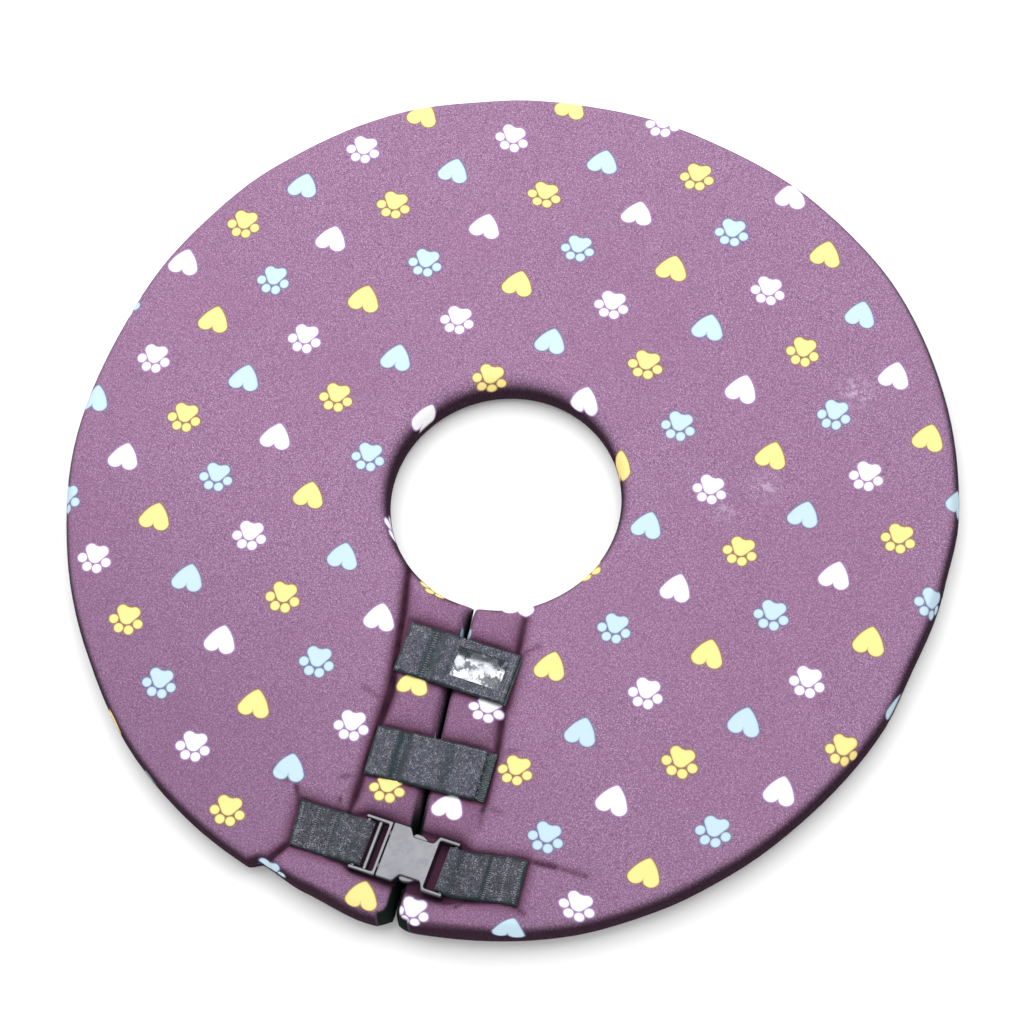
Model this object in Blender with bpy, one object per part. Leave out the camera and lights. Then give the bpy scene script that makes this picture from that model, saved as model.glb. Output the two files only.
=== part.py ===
"""A soft recovery cone: a flat padded collar with a neck hole and one radial slit.

The collar lies face up on z = 0, its neck hole is centred on the origin and the slit runs
towards -Y. Two hook-and-loop straps and a webbing strap with a side-release buckle close
the slit. All lengths are in metres.
"""

import math

import bmesh
import bpy

# Padded disc
OUTER_RADIUS = 0.238
NECK_RADIUS = 0.062
PAD_THICKNESS = 0.024
SLIT_GAP_AT_NECK = 0.003
SLIT_GAP_AT_RIM = 0.005
RIM_ROUND = 0.010
NECK_ROUND = 0.009
SLIT_ROUND = 0.007
UNDERSIDE_ROUND = 0.006
SLIT_EDGE_FULLNESS = 0.45
SLIT_UNDERSIDE_FULLNESS = 0.70
MIDDLE_HEIGHT_SHARE = 0.42

# Sewn channels beside the slit, measured from the slit's middle
LEFT_PANEL_WIDTH = 0.0335
RIGHT_PANEL_WIDTH = 0.0295
CHANNEL_DEPTH = 0.0032
CHANNEL_HALF_WIDTH = 0.0022

# Straps: place of the centre line where it crosses the slit, slant and size
CLEARANCE = 0.0003
SEAT_DEPTH = 0.0030
SEAT_MARGIN = 0.0040
SEAT_BLEND = 0.0050

ID_STRAP_FROM_NECK = 0.0346
ID_STRAP_WIDTH = 0.0280
ID_STRAP_LEFT = 0.0316
ID_STRAP_RIGHT = 0.0293
ID_STRAP_SLANT_DEG = -6.3

MIDDLE_STRAP_OFFSET = -0.0022
MIDDLE_STRAP_WIDTH = 0.0270
MIDDLE_STRAP_LEFT = 0.0335
MIDDLE_STRAP_RIGHT = 0.0264
MIDDLE_STRAP_SLANT_DEG = -1.7

TAPE_THICKNESS = 0.0018
PATCH_THICKNESS = 0.0010
PATCH_START = 0.0060
ID_PATCH_OVERHANG = 0.0014
MIDDLE_PATCH_OVERHANG = 0.0050

# Window in the ID strap's flap: distances from the flap's right end and lower edge
WINDOW_LENGTH = 0.0280
WINDOW_HEIGHT = 0.0170
WINDOW_FROM_END = 0.0042
WINDOW_FROM_LOWER_EDGE = 0.0058
WINDOW_DEPTH = 0.0014
SHEET_THICKNESS = 0.0003

# Buckle and its webbing
BUCKLE_FROM_RIM = 0.0342
BUCKLE_CENTRE_X = -0.0012
BUCKLE_SLANT_DEG = -6.0
BUCKLE_HEIGHT = 0.0080
BUCKLE_SEAT_DEPTH = 0.0035
WEBBING_WIDTH = 0.0245
WEBBING_THICKNESS = 0.0015
LEFT_WEBBING_END = 0.0620
RIGHT_WEBBING_END = 0.0606
RIGHT_WEBBING_RISE = 0.0065
LEFT_STITCH_FROM_END = 0.0215
RIGHT_STITCH_FROM_END = 0.0190

BAR_RADIUS = 0.0017
BAR_INSET = 0.0003
ARM_WIDTH = 0.0022
FRAME_HEIGHT = 0.0050
SLOT_LENGTH = 0.0030
MOUTH_CLEARANCE = 0.0003
FEMALE_PLATE_LENGTH = 0.0105
WINDOW_SPAN = 0.0125
FLARE_LENGTH = 0.0030
FEMALE_END_LENGTH = 0.0105
SHELL_WALL = 0.0015
WAIST_HALF_WIDTH = 0.0106
PRONG_CLEARANCE = 0.0003
PRONG_ARM_WIDTH = 0.0034
TAB_BULGE = 0.0027
TAB_TAPER = 0.8
GUIDE_WIDTH = 0.0040

# Where the rim has a small notch
NOTCH_START_DEG = 249.6
NOTCH_END_DEG = 251.4

# The rim's outline. Columns: angle_deg from +X, counter-clockwise; radius, as a share of
# OUTER_RADIUS
RIM_OUTLINE = (
    (0, 0.996),
    (10, 1.010),
    (25, 1.013),
    (42, 1.016),
    (58, 1.008),
    (75, 0.998),
    (90, 1.000),
    (105, 1.003),
    (118, 1.014),
    (135, 1.012),
    (155, 1.006),
    (168, 0.998),
    (185, 1.002),
    (200, 0.997),
    (215, 0.994),
    (229, 1.001),
    (240, 1.001),
    (NOTCH_START_DEG, 0.999),
    (NOTCH_END_DEG, 0.978),
    (258, 0.988),
    (267, 1.003),
    (275, 1.001),
    (292, 1.004),
    (303, 0.999),
    (313, 0.994),
    (325, 0.990),
    (340, 0.992),
    (348, 0.985),
)

# How far the rim draws back beside the slit. Columns: from_slit, left_setback,
# right_setback, all as shares of PAD_THICKNESS
CORNERS = (
    (0.00, 0.15, 0.22),
    (0.10, 0.10, 0.10),
    (0.28, 0.02, 0.03),
    (0.50, 0.00, 0.00),
)

# Folds in the cloth. Columns: start_x, start_y, end_x, end_y, as shares of OUTER_RADIUS;
# depth, half_width, as shares of PAD_THICKNESS
FOLDS = (
    (-0.325, -0.955, -0.262, -0.880, 0.20, 0.22),
    (0.258, -0.804, 0.380, -0.808, 0.13, 0.20),
    (-0.285, -0.745, -0.262, -0.790, 0.10, 0.20),
    (0.128, -0.945, 0.146, -0.915, 0.08, 0.12),
    (0.250, -0.910, 0.268, -0.918, 0.08, 0.12),
)

# Shallow dents. Columns: x, y, as shares of OUTER_RADIUS; depth, radius, as shares of
# PAD_THICKNESS
DENTS = (
    (-0.30, -0.62, 0.05, 2.4),
    (0.24, -0.55, 0.04, 2.2),
    (0.62, 0.25, 0.05, 3.4),
    (-0.66, 0.32, 0.04, 3.6),
    (-0.05, 0.70, 0.04, 3.4),
    (0.52, -0.52, 0.04, 3.0),
)

# A hook-and-loop strap along its length. Columns: along, as a share of the length; lift of
# the underside, as a share of the patch below it and its clearance; thickness, as a share of
# TAPE_THICKNESS
STRAP_SECTIONS = (
    (0.00, 0.00, 0.85),
    (0.04, 0.00, 1.10),
    (0.16, 0.00, 1.30),
    (0.25, 0.00, 0.95),
    (0.28, 0.05, 0.90),
    (0.34, 0.45, 1.40),
    (0.44, 0.90, 1.25),
    (0.54, 1.00, 1.22),
    (0.62, 1.00, 1.08),
    (0.72, 1.00, 1.18),
    (0.90, 1.00, 1.22),
    (1.00, 1.00, 1.05),
)

# Webbing where it leaves a bar. Columns: along, as a share of the wrap's radius; fall of the
# underside and of the upper face, as shares of their way from the bar to the lying webbing
WEBBING_FALL = (
    (1.0, 0.7, 0.35),
    (1.7, 1.0, 0.80),
)
# How far the doubled webbing and its sewn end puff up, as shares of WEBBING_THICKNESS
LOOP_PUFF = 0.35
END_PUFF = 0.30

# Points of the mesh: places beside the slit as shares of SLIT_ROUND, on the panel as shares
# of what is left of it, and at an edge as shares of its rounding
FAN_SPOKES = 25
LEAST_FAN_STEP = 0.3
SLIT_SPOKES = (0.0, 0.12, 0.36, 0.75, 1.2)
PANEL_SPOKES = (0.35, 0.70)
ROUND_STEPS = (0.0, 0.06, 0.24, 0.55, 1.0)
BAR_SIDES = 16
LEAST_SPACING = 0.0004
SHARP_DEG = 30
TAPE_SHARP_DEG = 50


def smooth(t):
    """A step from 0 to 1 with flat ends."""
    t = min(max(t, 0.0), 1.0)
    return t * t * (3.0 - 2.0 * t)


def mix(a, b, t):
    return a + (b - a) * t


def setback(side, from_slit):
    """How far the rim's corner on one side of the slit draws back."""
    share = from_slit / PAD_THICKNESS
    for low, high in zip(CORNERS, CORNERS[1:]):
        if share <= high[0]:
            t = (share - low[0]) / (high[0] - low[0])
            column = 1 if side < 0 else 2
            return PAD_THICKNESS * mix(low[column], high[column], t)
    return 0.0


def rim_radius(angle_deg):
    """The rim's distance from the origin, joined smoothly between the table's rows."""
    angle = angle_deg % 360.0
    rows = RIM_OUTLINE + ((360.0 + RIM_OUTLINE[0][0], RIM_OUTLINE[0][1]),)
    for low, high in zip(rows, rows[1:]):
        if angle <= high[0]:
            t = (angle - low[0]) / (high[0] - low[0])
            return OUTER_RADIUS * mix(low[1], high[1], smooth(t))
    return OUTER_RADIUS * rows[-1][1]


def id_strap_y():
    return -(NECK_RADIUS + ID_STRAP_FROM_NECK)


def buckle_y():
    return -(OUTER_RADIUS - BUCKLE_FROM_RIM)


def middle_strap_y():
    return (id_strap_y() + buckle_y()) / 2 + MIDDLE_STRAP_OFFSET


class Lay:
    """Where a strap lies: its centre at x = 0, slant, ends and width."""

    def __init__(self, y, slant_deg, left, right, width, depth):
        self.y = y
        self.slope = math.tan(math.radians(slant_deg))
        self.left, self.right = left, right
        self.width = width
        self.depth = depth

    def centre(self, x):
        return self.y + self.slope * x

    def seat(self, x, y):
        """How far the cloth under and just around the strap is pressed down."""
        across = abs(y - self.centre(x)) - self.width / 2 - SEAT_MARGIN
        along = max(-self.left - x, x - self.right) - SEAT_MARGIN
        return self.depth * (1 - smooth(across / SEAT_BLEND)) * (1 - smooth(along / SEAT_BLEND))


def lays():
    """The three places where straps cross the slit."""
    return (
        Lay(id_strap_y(), ID_STRAP_SLANT_DEG, ID_STRAP_LEFT,
            ID_STRAP_RIGHT + ID_PATCH_OVERHANG, ID_STRAP_WIDTH, SEAT_DEPTH),
        Lay(middle_strap_y(), MIDDLE_STRAP_SLANT_DEG, MIDDLE_STRAP_LEFT,
            MIDDLE_STRAP_RIGHT + MIDDLE_PATCH_OVERHANG, MIDDLE_STRAP_WIDTH, SEAT_DEPTH),
        Lay(buckle_y(), 0.0, LEFT_WEBBING_END, RIGHT_WEBBING_END,
            buckle_width() + 2 * CLEARANCE, BUCKLE_SEAT_DEPTH),
    )


def buckle_width():
    return WEBBING_WIDTH + 2 * (CLEARANCE + ARM_WIDTH) + 2 * CLEARANCE


def groove(distance, half_width):
    return math.exp(-((distance / half_width) ** 2))


def distance_to_segment(x, y, x1, y1, x2, y2):
    """How far a point is from a segment."""
    dx, dy = x2 - x1, y2 - y1
    t = ((x - x1) * dx + (y - y1) * dy) / (dx * dx + dy * dy)
    t = min(max(t, 0.0), 1.0)
    return math.hypot(x - x1 - t * dx, y - y1 - t * dy)


def channel_depth(x, y):
    """The two sewn channels beside the slit, from the neck to the last strap."""
    left_end = buckle_y() + buckle_width() / 2
    right_end = middle_strap_y() - MIDDLE_STRAP_WIDTH / 2
    depth = 0.0
    for place, end in ((-LEFT_PANEL_WIDTH, left_end), (RIGHT_PANEL_WIDTH, right_end)):
        fade = 1 - smooth((end - y) / SEAT_BLEND)
        depth = max(depth, CHANNEL_DEPTH * fade * groove(x - place, CHANNEL_HALF_WIDTH))
    return depth if y < 0 else 0.0


def pad_top(x, y):
    """The height of the pad's upper face, before its edges are rounded."""
    sunk = channel_depth(x, y)
    for lay in lays():
        sunk = max(sunk, lay.seat(x, y))
    for x1, y1, x2, y2, depth, half_width in FOLDS:
        away = distance_to_segment(x, y, *(OUTER_RADIUS * v for v in (x1, y1, x2, y2)))
        sunk = max(sunk, PAD_THICKNESS * depth * groove(away, PAD_THICKNESS * half_width))
    for dx, dy, depth, radius in DENTS:
        away = math.hypot(x - OUTER_RADIUS * dx, y - OUTER_RADIUS * dy)
        sunk += PAD_THICKNESS * depth * groove(away, PAD_THICKNESS * radius)
    return PAD_THICKNESS - sunk


def rounding(distance, radius):
    """A quarter ellipse: 0 at an edge and 1 from radius inwards."""
    inside = min(max(distance / radius, 0.0), 1.0)
    return math.sqrt(1 - (1 - inside) ** 2)


def stations():
    """Rows of points across the pad's upper face, as (distance from the origin at x = 0,
    slope), which follow the straps' edges."""
    places = []
    for lay in lays():
        half = lay.width / 2 + SEAT_MARGIN
        for offset in (0.0, half, half + SEAT_BLEND / 2, half + SEAT_BLEND):
            places += [(-lay.y - offset, lay.slope), (-lay.y + offset, lay.slope)]
    low = NECK_RADIUS + NECK_ROUND
    high = OUTER_RADIUS - RIM_ROUND
    kept = [(low, 0.0)]
    for place, slope in sorted(places):
        if place - kept[-1][0] > SEAT_BLEND / 3 and place < high - SEAT_BLEND / 3:
            kept.append((place, slope))
    return kept[1:]


def fan_spoke(side, panel, share):
    """The ends of a spoke between the last one along the slit and the one opposite it."""
    inner_start = math.degrees(math.asin(side * panel / NECK_RADIUS))
    outer_start = math.degrees(math.asin(side * panel / OUTER_RADIUS))
    turn_in = math.radians(-90 + mix(inner_start, side * 180, share))
    turn_out = math.radians(-90 + mix(outer_start, side * 180, share))
    radius = rim_radius(math.degrees(turn_out))
    inner = (NECK_RADIUS * math.cos(turn_in), NECK_RADIUS * math.sin(turn_in))
    outer = (radius * math.cos(turn_out), radius * math.sin(turn_out))
    return inner, outer


def share_through(side, panel, x, y):
    """The share of the fan whose spoke passes through a point beside the slit."""
    low, high = 0.0, 0.5
    for _ in range(24):
        share = (low + high) / 2
        inner, outer = fan_spoke(side, panel, share)
        t = (y - inner[1]) / (outer[1] - inner[1])
        beyond = side * mix(inner[0], outer[0], t) > side * x
        low, high = (low, share) if beyond else (share, high)
    return share


def fan_shares(side, panel, webbing_end):
    """Shares of the fan's spokes: an even set, the rim's notch and the webbing's end."""
    wanted = []
    for reach in (SEAT_MARGIN / 2, SEAT_MARGIN + SEAT_BLEND / 2, SEAT_MARGIN + SEAT_BLEND):
        wanted.append(share_through(side, panel, side * (webbing_end + reach), buckle_y()))
    if side < 0:
        outer_start = math.degrees(math.asin(side * panel / OUTER_RADIUS))
        for angle in (NOTCH_START_DEG, NOTCH_END_DEG):
            wanted.append((angle - 270 - outer_start) / (-180 - outer_start))
    for k in range(1, FAN_SPOKES):
        share = k / FAN_SPOKES
        if min(abs(share - other) for other in wanted) > LEAST_FAN_STEP / FAN_SPOKES:
            wanted.append(share)
    return sorted(wanted)


def spokes():
    """(inner point, outer point, distance from the slit) of each section, from the slit's
    left face round to its right face."""
    sides = {}
    strap_left = max(ID_STRAP_LEFT, MIDDLE_STRAP_LEFT)
    strap_right = max(ID_STRAP_RIGHT + ID_PATCH_OVERHANG, MIDDLE_STRAP_RIGHT + MIDDLE_PATCH_OVERHANG)
    for side, panel, strap_end, webbing_end in (
        (-1, LEFT_PANEL_WIDTH, strap_left, LEFT_WEBBING_END),
        (1, RIGHT_PANEL_WIDTH, strap_right, RIGHT_WEBBING_END),
    ):
        before, after = panel - 2 * CHANNEL_HALF_WIDTH, panel + 2 * CHANNEL_HALF_WIDTH
        seat_end = strap_end + SEAT_MARGIN + SEAT_BLEND
        offsets = [SLIT_ROUND * s for s in SLIT_SPOKES]
        offsets += [mix(offsets[-1], before, t) for t in PANEL_SPOKES]
        offsets += [before, panel - CHANNEL_HALF_WIDTH, panel, panel + CHANNEL_HALF_WIDTH, after]
        offsets += [seat_end - SEAT_BLEND / 2, seat_end]
        row = []
        for offset in offsets:
            x_in = side * (offset + SLIT_GAP_AT_NECK / 2 if offset < before else offset)
            x_out = side * (offset + SLIT_GAP_AT_RIM / 2 if offset < before else offset)
            angle = math.degrees(math.atan2(-OUTER_RADIUS, x_out))
            radius = rim_radius(angle) - setback(side, offset)
            inner = (x_in, -math.sqrt(NECK_RADIUS**2 - x_in**2))
            outer = (x_out, -math.sqrt(radius**2 - x_out**2))
            row.append((inner, outer, offset))
        for share in fan_shares(side, seat_end, webbing_end):
            row.append((*fan_spoke(side, seat_end, share), seat_end))
        sides[side] = row
    far = ((0.0, NECK_RADIUS), (0.0, rim_radius(90)), SLIT_ROUND * 2)
    return sides[-1] + [far] + sides[1][::-1]


def section(inner, outer, from_slit):
    """The closed loop of the pad's section along one spoke."""
    length = math.dist(inner, outer)
    middle = PAD_THICKNESS * MIDDLE_HEIGHT_SHARE
    straps_reach = max(LEFT_WEBBING_END, RIGHT_WEBBING_END) + SEAT_MARGIN + SEAT_BLEND
    radial = 1.0
    if outer[1] < 0:
        radial = smooth((abs(outer[0]) * -buckle_y() / OUTER_RADIUS - straps_reach) / straps_reach)
    slit = mix(SLIT_EDGE_FULLNESS, 1.0, rounding(from_slit, SLIT_ROUND))
    slit_below = mix(SLIT_UNDERSIDE_FULLNESS, 1.0, rounding(from_slit, UNDERSIDE_ROUND))

    def at(along):
        t = along / length
        return mix(inner[0], outer[0], t), mix(inner[1], outer[1], t)

    upper = [s * NECK_ROUND for s in ROUND_STEPS]
    rows = stations()
    for k, (q, slope) in enumerate(rows):
        share = (q - NECK_RADIUS) / (OUTER_RADIUS - NECK_RADIUS)
        if radial < 1.0:
            x = mix(inner[0], outer[0], share)
            level = (q - slope * x + inner[1]) / (inner[1] - outer[1])
            share = mix(level, share, radial)
        last = length - RIM_ROUND - (len(rows) - k) * LEAST_SPACING
        upper.append(max(min(length * share, last), upper[-1] + LEAST_SPACING))
    upper += [length - s * RIM_ROUND for s in ROUND_STEPS[::-1]]
    points = []
    for along in upper:
        x, y = at(along)
        full = rounding(along, NECK_ROUND) * rounding(length - along, RIM_ROUND) * slit
        points.append((x, y, middle + (pad_top(x, y) - middle) * full))
    below = [length - s * UNDERSIDE_ROUND for s in ROUND_STEPS[1:]]
    below += [length * 2 / 3, length / 3]
    below += [s * UNDERSIDE_ROUND for s in ROUND_STEPS[:0:-1]]
    for along in below:
        x, y = at(along)
        full = rounding(along, UNDERSIDE_ROUND) * rounding(length - along, UNDERSIDE_ROUND)
        points.append((x, y, middle - middle * full * slit_below))
    return points


def new_object(name, mesh, material):
    mesh.materials.append(material)
    thing = bpy.data.objects.new(name, mesh)
    bpy.context.scene.collection.objects.link(thing)
    return thing


def mesh_of(name, vertices, faces, sharp_deg=SHARP_DEG):
    """A mesh with its faces pointing out and its round parts shaded smooth."""
    mesh = bpy.data.meshes.new(name)
    mesh.from_pydata(vertices, [], faces)
    shape = bmesh.new()
    shape.from_mesh(mesh)
    bmesh.ops.recalc_face_normals(shape, faces=shape.faces)
    shape.to_mesh(mesh)
    shape.free()
    mesh.shade_smooth()
    mesh.set_sharp_from_angle(angle=math.radians(sharp_deg))
    return mesh


def loft(name, loops, sharp_deg=SHARP_DEG):
    """A closed body through loops of as many points each, with flat end caps."""
    count = len(loops[0])
    vertices = [point for loop in loops for point in loop]
    faces = [tuple(range(count)), tuple(range(len(vertices) - count, len(vertices)))]
    for k in range(len(loops) - 1):
        for i in range(count):
            j = (i + 1) % count
            faces.append((k * count + i, k * count + j, (k + 1) * count + j, (k + 1) * count + i))
    return mesh_of(name, vertices, faces, sharp_deg)


def make_padded_disc(material):
    loops = [section(*spoke) for spoke in spokes()]
    return new_object("padded_disc", loft("padded_disc", loops), material)


def seat_level(depth):
    return PAD_THICKNESS - depth


def band_loop(lay, x, half_width, low, high):
    """Four points round a strap's section at x, square to its slant."""
    angle = math.atan(lay.slope)
    loop = []
    for side, z in ((-1, low), (1, low), (1, high), (-1, high)):
        reach = side * half_width
        loop.append((x - math.sin(angle) * reach, lay.centre(x) + math.cos(angle) * reach, z))
    return loop


def strap_loops(lay, left, right):
    """The sections of a hook-and-loop strap, from its left end to its right."""
    loops = []
    ground = seat_level(lay.depth) + CLEARANCE
    for along, lift, thickness in STRAP_SECTIONS:
        low = ground + lift * (PATCH_THICKNESS + CLEARANCE)
        high = low + TAPE_THICKNESS * thickness
        loops.append(band_loop(lay, mix(-left, right, along), lay.width / 2, low, high))
    return loops


def patch_loops(lay, right):
    """The sections of a thin patch sewn on the right panel, under the strap's flap."""
    low = seat_level(lay.depth) + CLEARANCE
    half_width = lay.width / 2 - CLEARANCE
    return [band_loop(lay, x, half_width, low, low + PATCH_THICKNESS) for x in (PATCH_START, right)]


def box_mesh(name, corners_xy, low, high):
    """An upright block on a plan outline."""
    loops = [[(x, y, z) for x, y in corners_xy] for z in (low, high)]
    return loft(name, loops)


def cut(thing, cutter_mesh):
    """Cuts a shape out of an object and leaves the cutter hidden in the scene."""
    cutter = bpy.data.objects.new(thing.name + "_cutter", cutter_mesh)
    bpy.context.scene.collection.objects.link(cutter)
    cutter.hide_render = True
    cutter.display_type = "WIRE"
    modifier = thing.modifiers.new("cut_" + cutter.name, "BOOLEAN")
    modifier.operation = "DIFFERENCE"
    modifier.object = cutter


def window_corners(lay, margin):
    """The plan corners of the flap's window, drawn in by a margin."""
    angle = math.atan(lay.slope)
    right = ID_STRAP_RIGHT - WINDOW_FROM_END - margin
    left = ID_STRAP_RIGHT - WINDOW_FROM_END - WINDOW_LENGTH + margin
    low = -lay.width / 2 + WINDOW_FROM_LOWER_EDGE + margin
    high = -lay.width / 2 + WINDOW_FROM_LOWER_EDGE + WINDOW_HEIGHT - margin
    corners = []
    for x, reach in ((left, low), (right, low), (right, high), (left, high)):
        corners.append((x - math.sin(angle) * reach, lay.centre(x) + math.cos(angle) * reach))
    return corners


def flap_top(lay):
    """The lowest height of the upper face where the strap lies on its patch."""
    thinnest = min(thickness for _, lift, thickness in STRAP_SECTIONS if lift == 1.0)
    return seat_level(lay.depth) + 2 * CLEARANCE + PATCH_THICKNESS + TAPE_THICKNESS * thinnest


def make_id_strap(tape, card_material, vinyl):
    """The ID strap with its recessed window, blank card and clear sheet."""
    lay = lays()[0]
    loops = strap_loops(lay, ID_STRAP_LEFT, ID_STRAP_RIGHT)
    strap = new_object("id_strap", loft("id_strap", loops, TAPE_SHARP_DEG), tape)
    top = flap_top(lay)
    floor = top - WINDOW_DEPTH
    recess = box_mesh("id_window_recess", window_corners(lay, 0.0), floor, top + TAPE_THICKNESS)
    cut(strap, recess)
    low = floor + CLEARANCE
    corners = window_corners(lay, CLEARANCE)
    card = box_mesh("id_card", corners, low, low + SHEET_THICKNESS)
    new_object("id_card", card, card_material)
    low += SHEET_THICKNESS + CLEARANCE
    sheet = box_mesh("id_window", corners, low, low + SHEET_THICKNESS)
    new_object("id_window", sheet, vinyl)
    right = ID_STRAP_RIGHT + ID_PATCH_OVERHANG
    new_object("id_patch", loft("id_patch", patch_loops(lay, right)), tape)


def make_middle_strap(tape):
    lay = lays()[1]
    loops = strap_loops(lay, MIDDLE_STRAP_LEFT, MIDDLE_STRAP_RIGHT)
    new_object("middle_strap", loft("middle_strap", loops, TAPE_SHARP_DEG), tape)
    right = MIDDLE_STRAP_RIGHT + MIDDLE_PATCH_OVERHANG
    new_object("middle_patch", loft("middle_patch", patch_loops(lay, right)), tape)


# The buckle's own frame: u along it to the right, v across it, both from its centre


def mouth_u():
    """Where the socket's open end is, with the two halves centred as one."""
    return -(male_length() + MOUTH_CLEARANCE + female_length()) / 2 + male_length() + MOUTH_CLEARANCE


def male_length():
    return 4 * BAR_RADIUS + 2 * SLOT_LENGTH + ARM_WIDTH


def female_length():
    return FEMALE_PLATE_LENGTH + WINDOW_SPAN + FLARE_LENGTH + FEMALE_END_LENGTH


def left_bar_u():
    return mouth_u() - MOUTH_CLEARANCE - male_length() + BAR_RADIUS + BAR_INSET


def right_bar_u():
    return mouth_u() + female_length() - BAR_RADIUS - BAR_INSET


def buckle_middle_z():
    return seat_level(BUCKLE_SEAT_DEPTH) + CLEARANCE + BUCKLE_HEIGHT / 2


def buckle_plan(u, v):
    """A point of the buckle's frame in plan."""
    a = math.radians(BUCKLE_SLANT_DEG)
    x = BUCKLE_CENTRE_X + u * math.cos(a) - v * math.sin(a)
    y = buckle_y() + u * math.sin(a) + v * math.cos(a)
    return x, y


def buckle_block(name, outline, low, high):
    """An upright block on an outline in the buckle's frame, heights from its middle."""
    middle = buckle_middle_z()
    corners = [buckle_plan(u, v) for u, v in outline]
    return box_mesh(name, corners, middle + low, middle + high)


def both_sides(half):
    """A closed outline from its upper half."""
    return half + [(u, -v) for u, v in half[::-1]]


def rod(name, u, v_from, v_to, radius=BAR_RADIUS):
    """A round bar across the buckle."""
    loops = []
    for v in (v_from, v_to):
        x, y = buckle_plan(u, v)
        a = math.radians(BUCKLE_SLANT_DEG)
        loop = []
        for k in range(BAR_SIDES):
            turn = 2 * math.pi * k / BAR_SIDES
            step = radius * math.cos(turn)
            loop.append((x + step * math.cos(a), y + step * math.sin(a),
                         buckle_middle_z() + radius * math.sin(turn)))
        loops.append(loop)
    return loft(name, loops)


def add(thing, mesh):
    """Joins an overlapping mesh to an object and leaves its own object hidden."""
    other = bpy.data.objects.new(mesh.name + "_piece", mesh)
    bpy.context.scene.collection.objects.link(other)
    other.hide_render = True
    other.display_type = "WIRE"
    modifier = thing.modifiers.new("join_" + mesh.name, "BOOLEAN")
    modifier.operation = "UNION"
    modifier.object = other


def make_buckle_male(plastic):
    """The frame with two bars, and two sprung prongs beside a guide."""
    half = buckle_width() / 2
    inside = half - ARM_WIDTH
    right = mouth_u() - MOUTH_CLEARANCE
    left = right - male_length()
    f = FRAME_HEIGHT / 2
    web = right - ARM_WIDTH
    frame = [(left, half), (right, half), (right, -half), (left, -half),
             (left, -inside), (web, -inside), (web, inside), (left, inside)]
    meshes = [buckle_block("male_frame", frame, -f, f)]
    reach = inside + ARM_WIDTH / 2
    meshes.append(rod("male_outer_bar", left_bar_u(), -reach, reach))
    meshes.append(rod("male_inner_bar", left_bar_u() + 2 * BAR_RADIUS + SLOT_LENGTH, -reach, reach))
    lift = BUCKLE_HEIGHT / 2 - SHELL_WALL - PRONG_CLEARANCE
    cavity = half - SHELL_WALL - PRONG_CLEARANCE
    window = mouth_u() + FEMALE_PLATE_LENGTH + ARM_WIDTH
    window_end = mouth_u() + FEMALE_PLATE_LENGTH + WINDOW_SPAN - PRONG_CLEARANCE
    arm_out = WAIST_HALF_WIDTH
    arm_in = arm_out - PRONG_ARM_WIDTH
    back = right - ARM_WIDTH / 2
    for side in (-1, 1):
        prong = [
            (back, arm_in), (back, arm_out),
            (window - ARM_WIDTH, arm_out),
            (window, min(arm_out + TAB_BULGE, cavity)),
            ((window + window_end) / 2, min(arm_out + TAB_TAPER * TAB_BULGE, cavity)),
            (window_end, arm_out - PRONG_ARM_WIDTH / 2),
            (window_end, arm_in),
        ]
        outline = [(u, side * v) for u, v in prong]
        meshes.append(buckle_block(f"male_prong_{side}", outline, -lift, lift))
    g = GUIDE_WIDTH / 2
    guide = [(back, -g), (back, g), (window_end - ARM_WIDTH, g), (window_end, 0.0),
             (window_end - ARM_WIDTH, -g)]
    meshes.append(buckle_block("male_guide", guide, -lift, lift))
    male = new_object("buckle_male", meshes[0], plastic)
    for mesh in meshes[1:]:
        add(male, mesh)


def female_outline():
    """The socket's plan: a wide plate, a waist with side windows and a flared end."""
    half = buckle_width() / 2
    u = mouth_u()
    plate = u + FEMALE_PLATE_LENGTH
    waist = plate + WINDOW_SPAN
    flare = waist + FLARE_LENGTH
    end = flare + FEMALE_END_LENGTH
    c = ARM_WIDTH
    return both_sides([
        (u, half - c / 2), (u + c / 2, half), (plate - c, half), (plate, half - c),
        (plate + c, WAIST_HALF_WIDTH), (waist, WAIST_HALF_WIDTH),
        (waist + FLARE_LENGTH / 2, half - c), (flare, half), (end - c, half), (end, half - c),
    ])


def make_buckle_female(plastic):
    """The hollow socket, with its slot and the bar that the right webbing wraps."""
    half = buckle_width() / 2
    h = BUCKLE_HEIGHT / 2
    shell = buckle_block("buckle_female", female_outline(), -h, h)
    thing = new_object("buckle_female", shell, plastic)
    u = mouth_u()
    waist = u + FEMALE_PLATE_LENGTH + WINDOW_SPAN
    hollow = half - SHELL_WALL
    inner = h - SHELL_WALL
    cavity = [(u - ARM_WIDTH, -hollow), (waist, -hollow), (waist, hollow), (u - ARM_WIDTH, hollow)]
    cut(thing, buckle_block("female_cavity", cavity, -inner, inner))
    slot_left = waist + FLARE_LENGTH
    reach = half - ARM_WIDTH
    beyond = right_bar_u() + 2 * ARM_WIDTH
    slot = [(slot_left, -reach), (beyond, -reach), (beyond, reach), (slot_left, reach)]
    cut(thing, buckle_block("female_slot", slot, -BUCKLE_HEIGHT, BUCKLE_HEIGHT))
    held = reach + ARM_WIDTH / 2
    add(thing, rod("female_bar", right_bar_u(), -held, held))


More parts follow.
